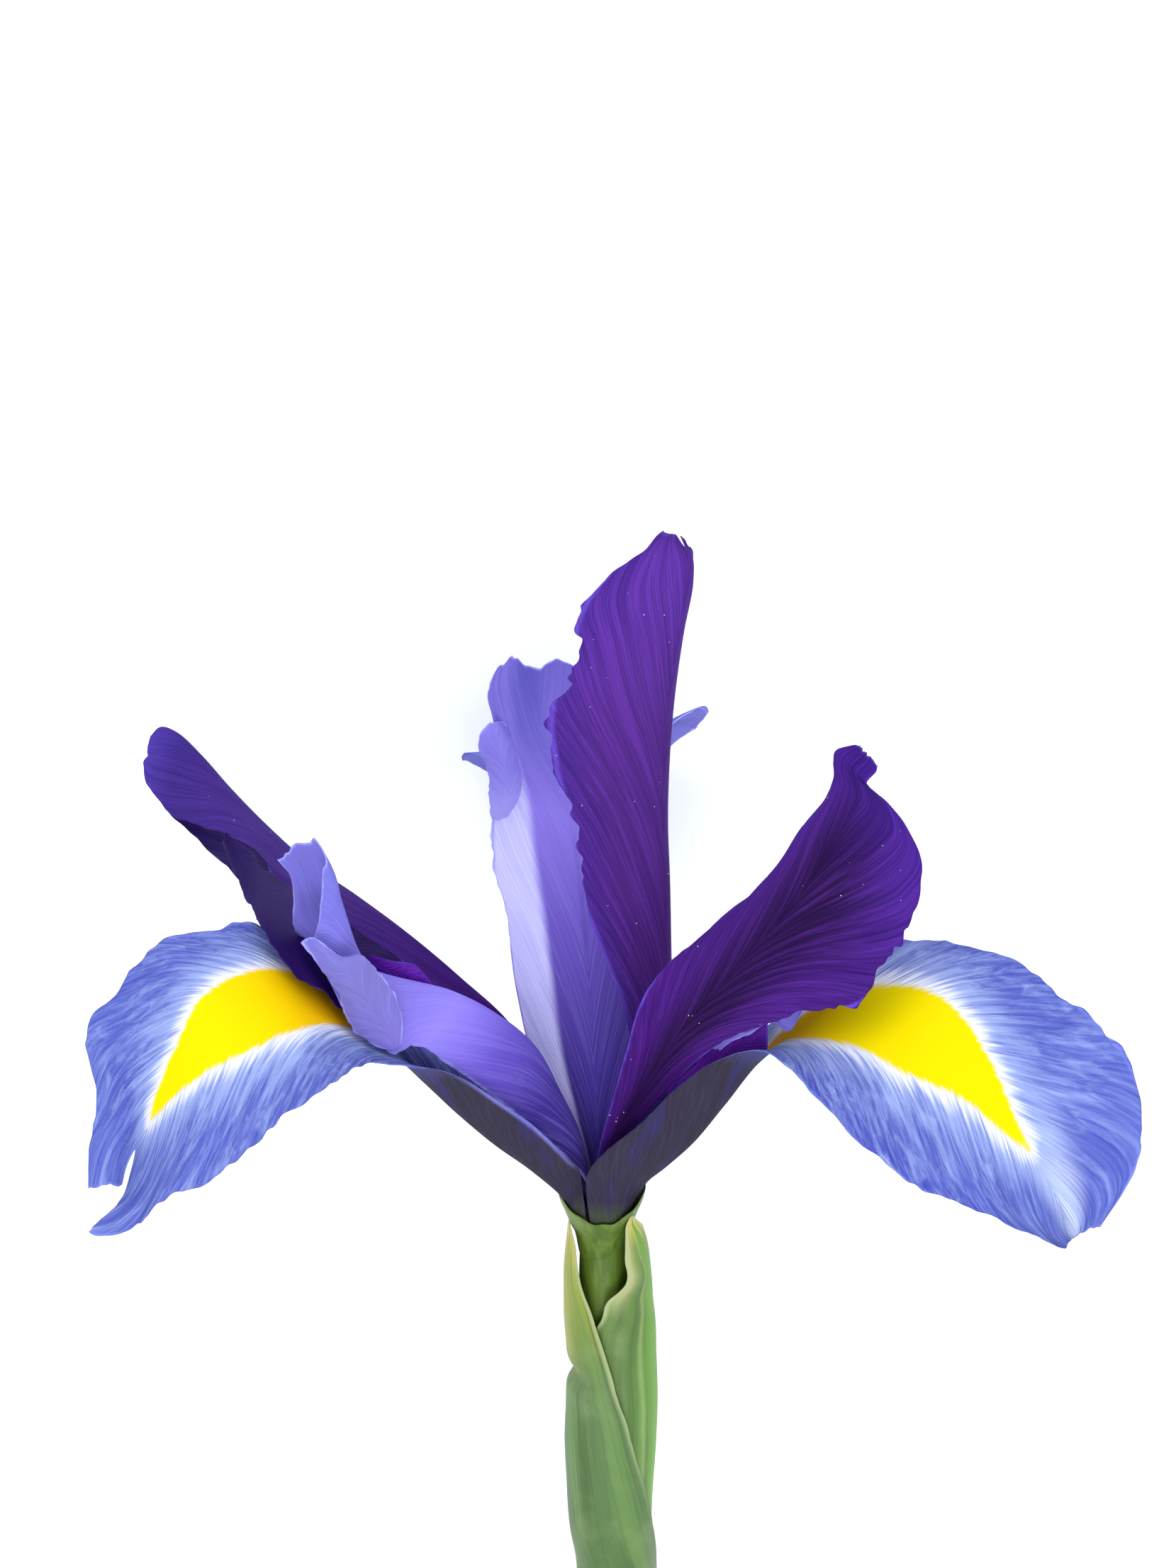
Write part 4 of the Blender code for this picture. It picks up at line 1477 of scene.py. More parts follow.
FRONT_STANDARD_ROWS: list[Row] = [
    [(-0.8, -2.9, 4.0), (0.3, -3.2, 4.0), (1.4, -3.0, 4.0)],
    [(0.1, -3.4, 8.6), (1.7, -4.2, 9.0), (3.1, -4.3, 8.8)],
    [(1.6, -4.0, 14.0), (4.4, -6.3, 14.0), (6.8, -6.7, 13.3)],
    [(3.0, -5.2, 19.0), (7.3, -9.2, 18.8), (10.2, -9.4, 17.4)],
    [(4.6, -6.6, 24.3), (10.4, -12.2, 23.0), (14.0, -13.8, 20.2)],
    [(8.0, -8.5, 29.8), (14.0, -15.0, 27.0), (18.5, -17.4, 22.0)],
    [(12.0, -10.0, 33.4), (17.5, -17.2, 31.0), (23.2, -20.0, 23.2)],
    [(16.0, -11.5, 36.8), (21.0, -18.6, 35.0), (28.0, -21.0, 24.4)],
    [(20.0, -13.0, 40.5), (24.0, -19.4, 39.0), (32.4, -20.6, 26.2)],
    [(23.0, -14.0, 44.8), (26.5, -19.6, 43.0), (34.9, -19.4, 30.2)],
    [(26.0, -15.0, 48.2), (28.5, -19.2, 46.5), (36.3, -18.8, 35.0)],
    [(26.9, -15.5, 50.6), (29.4, -18.6, 48.6), (37.2, -18.2, 40.2)],
    [(26.8, -15.8, 52.6), (29.0, -18.0, 50.4), (34.8, -17.6, 45.6)],
    [(27.2, -16.0, 54.0), (28.8, -17.6, 52.0), (30.3, -17.4, 49.9)],
    [(28.2, -16.4, 54.3), (29.8, -17.2, 52.9), (31.4, -17.0, 51.4)],
    [(29.4, -16.6, 54.5), (30.5, -17.0, 53.6), (31.6, -17.0, 52.4)],
]
LEFT_ARM_STATIONS: list[ArmStation] = [
    (1.7, 6.0, 2.3, 5.6, 1.1),
    (2.9, 12.0, 5.6, 10.4, 2.1),
    (5.2, 17.7, 9.8, 15.4, 2.4),
    (8.6, 25.0, 14.6, 20.9, 2.8),
    (13.9, 31.1, 20.6, 27.2, 3.2),
    (19.6, 35.7, 26.0, 32.0, 3.3),
]
RIGHT_ARM_STATIONS: list[ArmStation] = [
    (1.7, 6.0, 2.3, 5.6, 1.1),
    (2.9, 12.0, 5.0, 11.2, 1.6),
    (5.2, 18.2, 8.6, 16.8, 1.8),
    (8.6, 25.6, 13.0, 22.8, 2.1),
    (13.9, 32.2, 18.8, 30.0, 2.6),
    (19.6, 36.8, 24.6, 34.4, 2.8),
]
BACK_ARM_STATIONS: list[ArmStation] = [
    (1.7, 6.0, 2.2, 5.7, 1.6),
    (3.0, 12.0, 4.4, 11.2, 4.4),
    (5.4, 17.7, 7.4, 16.0, 6.8),
    (8.6, 25.0, 11.0, 22.6, 8.3),
    (13.9, 31.1, 16.2, 29.2, 8.9),
    (19.6, 35.7, 21.2, 33.8, 9.6),
]
LEFT_CREST_ROWS: list[list[Point]] = [
    [(-25.0, -18.3, 19.6), (-25.2, -16.8, 25.4), (-26.2, -15.0, 28.6),
     (-28.2, -13.2, 29.0), (-29.4, -11.6, 28.0)],
    [(-28.8, -19.4, 23.6), (-28.0, -17.4, 28.4), (-27.6, -15.6, 30.6),
     (-30.2, -13.0, 31.8), (-33.2, -12.2, 31.0)],
    [(-32.0, -19.6, 29.6), (-30.6, -18.4, 30.6), (-28.6, -16.2, 33.2),
     (-31.6, -13.0, 35.4), (-35.2, -12.4, 33.8)],
    [(-33.0, -19.7, 31.2), (-31.6, -18.6, 31.8), (-29.6, -16.3, 36.6),
     (-32.6, -13.2, 38.4), (-34.9, -12.8, 36.6)],
    [(-33.6, -19.7, 31.9), (-32.0, -18.7, 32.4), (-30.3, -16.3, 39.6),
     (-33.2, -13.2, 41.6), (-35.6, -12.8, 39.8)],
    [(-33.9, -19.7, 32.1), (-32.4, -18.7, 32.9), (-31.8, -16.0, 42.6),
     (-34.2, -13.4, 43.4), (-37.0, -13.0, 41.6)],
]
RIGHT_CREST_ROWS: list[list[Point]] = [
    [(21.8, -14.4, 21.6), (22.4, -14.2, 25.6), (23.0, -12.9, 28.0),
     (25.0, -11.0, 29.0), (26.6, -9.2, 28.4)],
    [(24.4, -15.0, 26.0), (24.2, -14.2, 29.6), (24.8, -12.8, 31.0),
     (27.4, -11.2, 32.6), (29.8, -10.0, 31.2)],
    [(26.8, -15.0, 30.4), (26.0, -14.4, 32.6), (26.4, -12.8, 33.2),
     (29.0, -11.4, 36.4), (31.6, -10.6, 35.4)],
    [(28.0, -14.8, 33.8), (27.2, -14.2, 35.4), (27.6, -12.8, 35.8),
     (29.8, -11.4, 39.4), (32.2, -11.0, 38.0)],
]
BACK_CREST_ROWS: list[list[Point]] = [
    [(-12.4, 25.4, 46.6), (-8.2, 24.4, 48.0), (-3.6, 23.8, 47.4), (1.0, 24.2, 47.6), (5.0, 25.2, 45.6)],
    [(-11.8, 26.4, 52.0), (-9.4, 25.0, 52.8), (-5.8, 25.0, 52.4), (-1.2, 24.8, 52.8), (3.4, 26.0, 51.0)],
    [(-12.3, 26.8, 57.6), (-10.2, 24.9, 58.2), (-7.0, 25.6, 57.8), (-2.6, 24.8, 58.8), (2.2, 26.4, 56.4)],
    [(-12.7, 26.8, 61.0), (-10.4, 24.8, 62.2), (-7.4, 25.8, 61.4), (-3.4, 24.8, 62.4), (1.2, 26.4, 59.4)],
    [(-11.6, 26.6, 63.9), (-9.7, 25.0, 65.3), (-7.8, 25.6, 63.8), (-4.0, 25.0, 64.4), (0.6, 26.4, 61.4)],
]
NEAR_LOBE_ROWS: list[Row] = [
    [(-24.0, -18.4, 19.5), (-23.4, -18.6, 19.7), (-22.6, -18.5, 20.1)],
    [(-26.0, -18.9, 20.1), (-24.2, -19.2, 22.0), (-22.6, -18.4, 23.5)],
    [(-28.0, -19.4, 21.6), (-25.8, -19.9, 24.2), (-23.4, -18.5, 26.0)],
    [(-29.2, -19.6, 24.0), (-27.3, -20.3, 26.3), (-25.0, -18.8, 28.2)],
    [(-30.3, -19.8, 26.5), (-28.8, -20.6, 28.8), (-27.0, -19.2, 30.5)],
    [(-31.5, -20.0, 28.4), (-30.5, -20.7, 29.5), (-29.5, -19.5, 30.3)],
    [(-32.8, -20.1, 30.5), (-32.0, -20.5, 31.0), (-31.1, -19.8, 31.3)],
    [(-34.0, -20.2, 32.0), (-33.3, -20.3, 32.4), (-32.6, -20.1, 32.5)],
]
BACK_LOBE_ROWS: list[Row] = [
    [(-11.2, 26.8, 42.4), (-10.6, 26.2, 42.5), (-9.8, 27.4, 42.6)],
    [(-12.4, 26.2, 45.4), (-10.4, 24.8, 45.8), (-7.4, 27.4, 46.0)],
    [(-12.7, 25.8, 48.5), (-10.4, 24.2, 48.9), (-7.0, 26.8, 49.2)],
    [(-13.1, 25.6, 51.6), (-11.0, 23.7, 52.4), (-8.6, 26.4, 52.9)],
    [(-13.9, 25.6, 54.3), (-12.1, 23.7, 54.9), (-9.9, 25.8, 55.4)],
    [(-13.4, 25.5, 55.9), (-12.2, 24.1, 56.4), (-10.9, 25.3, 56.6)],
    [(-12.5, 25.3, 57.0), (-12.0, 24.6, 57.1), (-11.5, 25.1, 57.2)],
]
LEFT_CURL_ROWS: list[Row] = [
    [(-26.6, -12.0, 29.4), (-26.4, -12.4, 30.0), (-26.0, -12.2, 30.4)],
    [(-24.0, -11.4, 27.2), (-23.8, -11.6, 28.7), (-23.6, -11.2, 29.7)],
    [(-21.6, -10.8, 26.6), (-21.4, -11.0, 28.2), (-21.2, -10.4, 29.3)],
    [(-19.2, -10.0, 26.2), (-19.3, -10.0, 26.9), (-19.4, -9.8, 27.4)],
]
PURPLE_WING_ROWS: list[Row] = [
    [(8.2, -8.0, 12.4), (8.0, -7.8, 13.6), (7.8, -7.4, 14.8)],
    [(11.0, -9.6, 14.6), (10.8, -9.4, 16.2), (10.6, -8.8, 18.0)],
    [(14.5, -11.4, 16.8), (14.3, -11.2, 18.6), (14.0, -10.6, 20.8)],
    [(17.2, -12.9, 18.2), (17.0, -12.7, 20.2), (16.8, -12.2, 22.4)],
    [(19.2, -14.2, 19.6), (19.2, -14.0, 21.2), (19.2, -13.8, 22.8)],
]
LEFT_LAPPET_ROWS: list[Row] = [
    [(-43.0, 15.0, 44.4), (-43.2, 14.6, 43.8), (-43.4, 14.0, 43.0)],
    [(-40.5, 11.5, 42.2), (-40.6, 6.0, 40.0), (-41.0, 0.0, 37.6)],
    [(-37.6, 8.5, 39.6), (-38.0, -3.5, 36.6), (-38.8, -12.0, 34.2)],
    [(-35.2, 5.0, 38.0), (-35.6, -9.0, 34.0), (-36.8, -16.5, 30.8)],
    [(-33.0, 2.0, 36.4), (-33.4, -11.5, 32.4), (-34.8, -18.6, 27.8)],
    [(-30.5, 0.0, 34.0), (-31.0, -12.0, 30.0), (-32.0, -18.8, 26.4)],
    [(-28.0, -1.0, 31.5), (-28.5, -12.0, 27.5), (-29.5, -18.0, 24.2)],
    [(-25.5, -2.0, 29.0), (-26.0, -11.0, 25.5), (-27.0, -16.0, 22.5)],
]
OUTER_BRACT: list[BractSection] = [
    (-76.0, 2.1, 4.6, 215, 170),
    (-62.0, 2.1, 4.6, 213, 170),
    (-52.0, 2.1, 4.6, 206, 164),
    (-46.2, 2.0, 4.6, 200, 160),
    (-41.9, 1.6, 4.9, 196, 148),
    (-35.2, 1.3, 5.0, 195, 128),
    (-29.4, 1.15, 5.05, 195, 110),
    (-25.1, 1.2, 4.95, 195, 98),
    (-21.4, 1.2, 4.9, 194, 86),
    (-17.4, 1.0, 4.7, 194, 76),
    (-13.5, 0.8, 4.75, 192, 67),
    (-10.2, 0.65, 4.65, 190, 58),
    (-7.6, 0.6, 4.6, 188, 47),
    (-5.1, 0.55, 4.45, 188, 38),
    (-2.0, 0.5, 4.2, 191, 25),
    (0.1, 0.45, 4.1, 196, 3),
]
# Height and depth of the dent in the outer bract's left side.
OUTER_PINCH = (-20.2, 1.4)
INNER_BRACT: list[BractSection] = [
    (-76.0, 2.1, 3.75, 20, 168),
    (-62.0, 2.1, 3.75, 18, 166),
    (-48.0, 2.0, 3.8, 14, 160),
    (-38.0, 2.0, 3.95, 8, 152),
    (-30.0, 2.3, 4.1, 2, 146),
    (-24.0, 2.4, 4.15, -2, 140),
    (-18.0, 2.2, 4.2, -6, 134),
    (-14.0, 2.0, 4.3, -8, 122),
    (-10.9, 1.6, 4.4, -7, 99),
    (-8.8, 1.45, 4.45, -11, 86),
    (-6.9, 1.3, 4.45, -7, 62),
    (-3.5, 1.0, 4.4, -21, 43),
    (-1.0, 0.7, 4.35, -31, 27),
    (1.2, 0.6, 4.3, -43, 9),
    (1.9, 0.6, 4.3, -43, 2),
]

FILAMENT_PATH = [(2.1, -0.1), (2.6, 3.0), (3.9, 7.5), (6.7, 13.6), (9.9, 19.2), (12.75, 23.4)]
FILAMENT_RADIUS = 0.4
ANTHER_PATH = [(13.0, 23.7), (15.0, 26.0), (17.4, 28.4), (19.8, 30.4), (21.6, 31.6)]
ANTHER_RADII = [0.5, 1.0, 1.05, 0.95, 0.45]
OVARY_PROFILE = [(-16, 2.3), (-13, 2.7), (-8, 2.8), (-4.5, 2.68), (-2.6, 2.7), (-1.6, 2.75), (-0.8, 2.8)]
STEM_LENGTH = 165.0
STEM_RADIUS = 3.3
STEM_SWAY = [(-STEM_LENGTH, 0.0), (-120.0, 1.2), (-78.0, 2.1), (-48.0, 2.0), (-17.0, 1.2)]
NODE_HEIGHT = -81.0
NODE_SWELL = 0.7
# The back fall rests on the table at this y and z, and the stem on its cut end.
REST_Y = 47.6
REST_Z = 29.0
RISE = math.atan2(REST_Y - STEM_RADIUS, STEM_LENGTH + REST_Z)
AZIMUTHS = {"left": 210, "right": 330, "back": 90}
# Radii at which the claws stand on the rim of the tube, and half the angle that an arm's claw covers.
FALL_RING = 3.4
STANDARD_RING = 2.3
ARM_RING = 1.0
ARM_SPAN = 38


def falls() -> list[Petal]:
    """Lists the three falls."""
    left = Petal(
        "fall_left", AZIMUTHS["left"], FALL_RING, (34, -50), LEFT_FALL_ROWS, 2.0, Side.AGAINST,
        first=Margin(1.1, 0.06, 9, 11, 0.42),
        last=Margin(1.2, 0.05, 10, 23, 0.42),
        tip=Tip(0.06, 0.14, 0.1, 0.004, 5),
        signal=Signal(
            (5.2, 6, 7, 8, 9, 10, 11, 12, 12.4),
            (0.02, -0.1, -0.2, -0.33, -0.36, -0.32, -0.23, -0.08, 0.0),
            (0.1, 0.35, 0.45, 0.4, 0.35, 0.28, 0.14, 0.09, 0.03),
        ),
    )
    right = Petal(
        "fall_right", AZIMUTHS["right"], FALL_RING, (-78, 48), RIGHT_FALL_ROWS, 2.0, Side.WITH,
        first=Margin(0.9, 0.035, 8, 31, 0.42),
        last=Margin(0.8, 0.035, 9, 43, 0.42),
        tip=Tip(0.0, 0.1, 0.0, 0.002, 6),
        signal=Signal(
            (3.9, 4.3, 5, 6, 7, 8, 9, 9.6),
            (0.0, -0.05, -0.15, -0.2, -0.3, -0.2, -0.12, -0.02),
            (0.3, 0.5, 0.55, 0.55, 0.45, 0.25, 0.07, 0.02),
        ),
    )
    back = Petal(
        "fall_back", AZIMUTHS["back"], FALL_RING, (50, -50), BACK_FALL_ROWS, 2.0, Side.AGAINST,
        first=Margin(0.8, 0.03, 7, 51, 0.45),
        last=Margin(0.8, 0.03, 7, 63, 0.45),
        tip=Tip(0.03, 0.12, 0.0, 0.012, 7),
        signal=Signal(
            (3, 4, 5, 6, 7, 8),
            (0.0, -0.2, -0.35, -0.35, -0.2, 0.0),
            (0.02, 0.2, 0.35, 0.35, 0.2, 0.02),
        ),
    )
    return [left, right, back]


def standards() -> list[Petal]:
    """Lists the three standards."""
    left = Petal(
        "standard_left", 150, STANDARD_RING, (32, -32), LEFT_STANDARD_ROWS, 1.25, Side.AGAINST,
        first=Margin(0.5, 0.03, 8, 71, 0.3),
        last=Margin(0.7, 0.03, 8, 83, 0.3),
        tip=Tip(0.0, 0.1, 0.0, 0.004, 8),
        lag=0.4,
    )
    upright = Petal(
        "standard_upright", 30, STANDARD_RING, (32, -32), UPRIGHT_STANDARD_ROWS, 1.3, Side.WITH,
        first=Margin(0.5, 0.085, 10, 91, 0.4),
        last=Margin(0.6, 0.02, 8, 103, 0.4),
        tip=Tip(0.025, 0.14, 0.1, 0.002, 9),
        lag=0.42,
        bend=0.8,
    )
    front = Petal(
        "standard_front", 270, STANDARD_RING, (-32, 32), FRONT_STANDARD_ROWS, 1.8, Side.WITH,
        first=Margin(0.4, 0.025, 8, 111, 0.35),
        last=Margin(0.6, 0.06, 9, 123, 0.35),
        tip=Tip(0.0, 0.1, 0.0, 0.004, 10),
        lag=0.4,
    )
    return [left, upright, front]


def style_arms() -> list[StyleArm]:
    """Lists the three style arms."""
    left = StyleArm(
        "style_left", AZIMUTHS["left"], 1, 0.0, LEFT_ARM_STATIONS, LEFT_CREST_ROWS, Side.AGAINST,
        first=Margin(0.35, 0.03, 9, 131, 0.5),
        last=Margin(0.35, 0.03, 9, 143, 0.5),
        tip=Tip(0.0, 0.1, 0.0, 0.008, 12),
    )
    right = StyleArm(
        "style_right", AZIMUTHS["right"], -1, 0.0, RIGHT_ARM_STATIONS, RIGHT_CREST_ROWS, Side.WITH,
        first=Margin(0.3, 0.03, 9, 151, 0.5),
        last=Margin(0.3, 0.03, 9, 163, 0.5),
        tip=Tip(0.02, 0.1, 0.0, 0.02, 13),
    )
    back = StyleArm(
        "style_back", AZIMUTHS["back"], 1, -0.13, BACK_ARM_STATIONS, BACK_CREST_ROWS, Side.AGAINST,
        first=Margin(0.4, 0.04, 9, 171, 0.45),
        last=Margin(0.35, 0.04, 9, 183, 0.45),
        tip=Tip(0.0, 0.08, 0.0, 0.012, 14),
    )
    return [left, right, back]


# The finishes, with colours as they show on a display.
# Dark grey-brown of the haft's outer face: its own dull colour, darkened with painted shade.
SHADED_HAFT = (58, 52, 70)
FALL_FINISH = FallFinish(
    "fall_skin",
    inner=shades((0.0, 104, 116, 74), (0.12, 76, 70, 112), (0.42, 86, 94, 176), (1.0, 94, 108, 194)),
    outer=shades(
        (0.0, 84, 100, 50), (0.05, *SHADED_HAFT), (0.36, *SHADED_HAFT), (0.5, 84, 86, 170), (1.0, 92, 100, 196)
    ),
    vein=srgb(60, 60, 166),
    rim=srgb(124, 136, 226),
    pale=srgb(148, 164, 228),
    veins=0.55,
    streaks=0.45,
    gap=0.9,
    rim_width=0.2,
    rim_start=0.42,
    glow=0.3,
    grain=(1.5, 0.45),
    outer_share=0.08,
    # Pale lavender band along the haft's thin margin: painted light shining through the thin margin.
    cores=(Core(srgb(132, 130, 216), -1.3, -0.95, 0.9, 0.04, 0.12, 0.34, 0.06),),
)
BACK_FALL_FINISH = replace(
    FALL_FINISH,
    name="back_fall_skin",
    outer=shades(
        (0.0, 84, 100, 50), (0.05, *SHADED_HAFT), (0.36, *SHADED_HAFT), (0.5, 120, 118, 206), (1.0, 150, 148, 236)
    ),
    rim=srgb(176, 176, 246),
)
RIGHT_FALL_FINISH = replace(
    FALL_FINISH,
    name="right_fall_skin",
    warm=(0.36, 0.58),
    cores=(
        Core(srgb(212, 224, 248), -0.08, 0.32, 0.85, 0.16, 0.84, 1.5, 0.05),
        # Darker band along the lower margin: painted shade of the margin that rolls under.
        Core(srgb(72, 80, 176), -1.3, -0.86, 0.8, 0.07, 0.5, 0.88),
    ),
)
LEFT_STANDARD_FINISH = PetalFinish(
    "left_standard_skin",
    inner=shades(
        (0.0, 56, 14, 100), (0.3, 54, 18, 100), (0.6, 62, 36, 112), (0.9, 58, 40, 124), (1.0, 78, 58, 166)
    ),
    # The outer face shows as the folded standard's far half: its deep violet darkened with painted shade.
    outer=shades((0.0, 40, 8, 84), (0.4, 26, 6, 66), (1.0, 26, 8, 70)),
    vein=srgb(26, 6, 66),
    rim=srgb(84, 60, 170),
    pale=srgb(84, 52, 148),
    veins=0.5,
    streaks=0.25,
    gap=1.0,
    rim_width=0.2,
    glow=0.15,
    relief=0.00006,
    outer_share=0.3,
)
UPRIGHT_STANDARD_FINISH = PetalFinish(
    "upright_standard_skin",
    inner=shades((0.0, 60, 30, 140), (0.4, 74, 28, 130), (1.0, 92, 46, 166)),
    outer=shades((0.0, 54, 34, 130), (0.35, 78, 36, 122), (0.7, 84, 44, 134), (1.0, 100, 56, 172)),
    vein=srgb(40, 8, 92),
    rim=srgb(102, 74, 194),
    pale=srgb(112, 56, 176),
    veins=0.65,
    streaks=0.4,
    gap=0.95,
    rim_width=0.4,
    rim_start=0.25,
    glow=0.25,
    cores=(Core(srgb(66, 40, 140), -1.2, -0.75, 0.6, 0.2),),
)
FRONT_STANDARD_FINISH = PetalFinish(
    "front_standard_skin",
    inner=shades((0.0, 50, 14, 104), (1.0, 76, 34, 150)),
    outer=shades((0.0, 58, 18, 112), (0.3, 72, 24, 120), (0.7, 72, 34, 128), (1.0, 72, 38, 150)),
    vein=srgb(34, 8, 84),
    rim=srgb(104, 76, 204),
    pale=srgb(106, 48, 172),
    veins=0.6,
    streaks=0.35,
    gap=1.1,
    rim_width=0.25,
    glow=0.25,
    # Dark zone down the middle: the midrib's deeper violet, darkened with painted shade of the petal's
    # hollow.
    cores=(Core(srgb(34, 14, 54), -0.35, 0.55, 0.92, 0.32, 0.12, 0.88),),
)
STYLE_FINISH = PetalFinish(
    "style_skin",
    inner=shades(
        (0.0, 42, 28, 104),
        (0.3, 64, 46, 144),
        (0.46, 106, 86, 202),
        (0.6, 152, 136, 246),
        (0.74, 126, 114, 212),
        (1.0, 116, 116, 206),
    ),
    outer=shades((0.0, 70, 52, 150), (0.5, 104, 90, 186), (1.0, 122, 118, 204)),
    vein=srgb(84, 66, 178),
    rim=srgb(160, 160, 238),
    pale=srgb(156, 146, 238),
    veins=0.06,
    streaks=0.25,
    gap=1.3,
    rim_width=0.2,
    glow=0.3,
    relief=0.00008,
)
BACK_STYLE_FINISH = replace(
    STYLE_FINISH,
    name="back_style_skin",
    veins=0.25,
    streaks=0.2,
    inner=shades(
        (0.0, 40, 28, 110),
        (0.25, 66, 46, 140),
        (0.5, 112, 90, 192),
        (0.7, 146, 128, 230),
        (1.0, 120, 110, 202),
    ),
    cores=(
        Core(srgb(214, 212, 255), -1.6, -0.5, 0.97, 0.07, 0.12, 0.8),
        Core(srgb(76, 60, 160), -0.02, 0.02, 0.5, 0.04, 0.1, 0.62),
        Core(srgb(100, 96, 194), -0.45, 0.05, 0.7, 0.12, 0.84),
    ),
)
CREST_SHADES = shades((0.0, 122, 112, 200), (0.5, 122, 116, 188), (1.0, 122, 120, 204))
CREST_FINISH = replace(
    STYLE_FINISH,
    name="crest_skin",
    inner=CREST_SHADES,
    outer=CREST_SHADES,
    rim=srgb(164, 164, 240),
    rim_width=0.3,
    veins=0.08,
)
WING_FINISH = replace(
    UPRIGHT_STANDARD_FINISH,
    name="wing_skin",
    inner=shades((0.0, 76, 16, 134), (1.0, 98, 34, 168)),
    outer=shades((0.0, 62, 14, 124), (1.0, 76, 30, 154)),
    rim=srgb(96, 62, 200),
    rim_width=0.3,
    cores=(),
)
BACK_LOBE_SHADES = shades(
    (0.0, 204, 202, 255), (0.3, 184, 178, 250), (0.6, 148, 138, 230), (1.0, 136, 126, 222)
)
BACK_LOBE_FINISH = replace(
    CREST_FINISH,
    name="back_lobe_skin",
    inner=BACK_LOBE_SHADES,
    outer=BACK_LOBE_SHADES,
    pale=srgb(190, 184, 250),
)
# The lappet is a dark sheet for the left standard's far half: deep violet with painted shade.
LAPPET_VIOLET_AND_SHADE = shades((0.0, 32, 12, 76), (1.0, 36, 16, 80))
LAPPET_SHADE_FINISH = replace(
    LEFT_STANDARD_FINISH,
    name="lappet_violet_and_shade_skin",
    inner=LAPPET_VIOLET_AND_SHADE,
    outer=LAPPET_VIOLET_AND_SHADE,
    rim=srgb(60, 36, 120),
    pale=srgb(54, 26, 104),
)
OUTER_BRACT_FINISH = LeafFinish(
    "outer_bract_skin",
    body=shades(
        (0.0, 64, 96, 42),
        (0.5, 78, 108, 62),
        (0.72, 90, 118, 72),
        (0.8, 108, 130, 58),
        (0.92, 150, 156, 56),
        (0.97, 200, 184, 66),
        (1.0, 220, 206, 140),
    ),
    vein=srgb(54, 82, 36),
    bright=srgb(98, 132, 72),
    paper=srgb(160, 172, 124),
    cores=(
        Core(srgb(158, 158, 76), -0.6, 0.3, 0.7, 0.2, 0.76, 0.97, 0.03),
        Core(srgb(190, 148, 48), -0.4, -0.02, 1.0, 0.1, 0.722, 0.742, 0.012),
        Core(srgb(50, 84, 28), 0.3, 0.33, 0.9, 0.04, 0.58, 0.71, 0.02),
    ),
)
INNER_BRACT_FINISH = LeafFinish(
    "inner_bract_skin",
    body=shades(
        (0.0, 64, 96, 42),
        (0.6, 86, 116, 66),
        (0.86, 90, 118, 58),
        (0.94, 122, 144, 66),
        (0.985, 212, 198, 84),
        (1.0, 234, 212, 140),
    ),
    vein=srgb(62, 92, 42),
    bright=srgb(104, 140, 72),
    paper=srgb(166, 176, 130),
    cores=(
        Core(srgb(98, 148, 44), -0.28, 0.1, 0.85, 0.1, 0.4),
        Core(srgb(150, 180, 108), -0.37, -0.35, 0.8, 0.04, 0.4),
        Core(srgb(66, 98, 40), -0.54, -0.44, 0.7, 0.06, 0.5, 0.9),
        Core(srgb(176, 178, 128), -1.3, -0.7, 0.75, 0.15, 0.84, 0.97, 0.03),
    ),
)
STEM_FINISH = StemFinish("stem_skin", srgb(70, 106, 46), srgb(108, 140, 76))
OVARY_FINISH = StemFinish("ovary_skin", srgb(66, 92, 24), srgb(92, 114, 44))
FILAMENT_FINISH = StemFinish("filament_skin", srgb(160, 150, 205), srgb(205, 200, 235))
ANTHER_FINISH = GrainFinish("anther_skin", srgb(196, 184, 140), srgb(232, 224, 190))
POLLEN_FINISH = GrainFinish("pollen_skin", srgb(232, 230, 222), srgb(250, 248, 240))


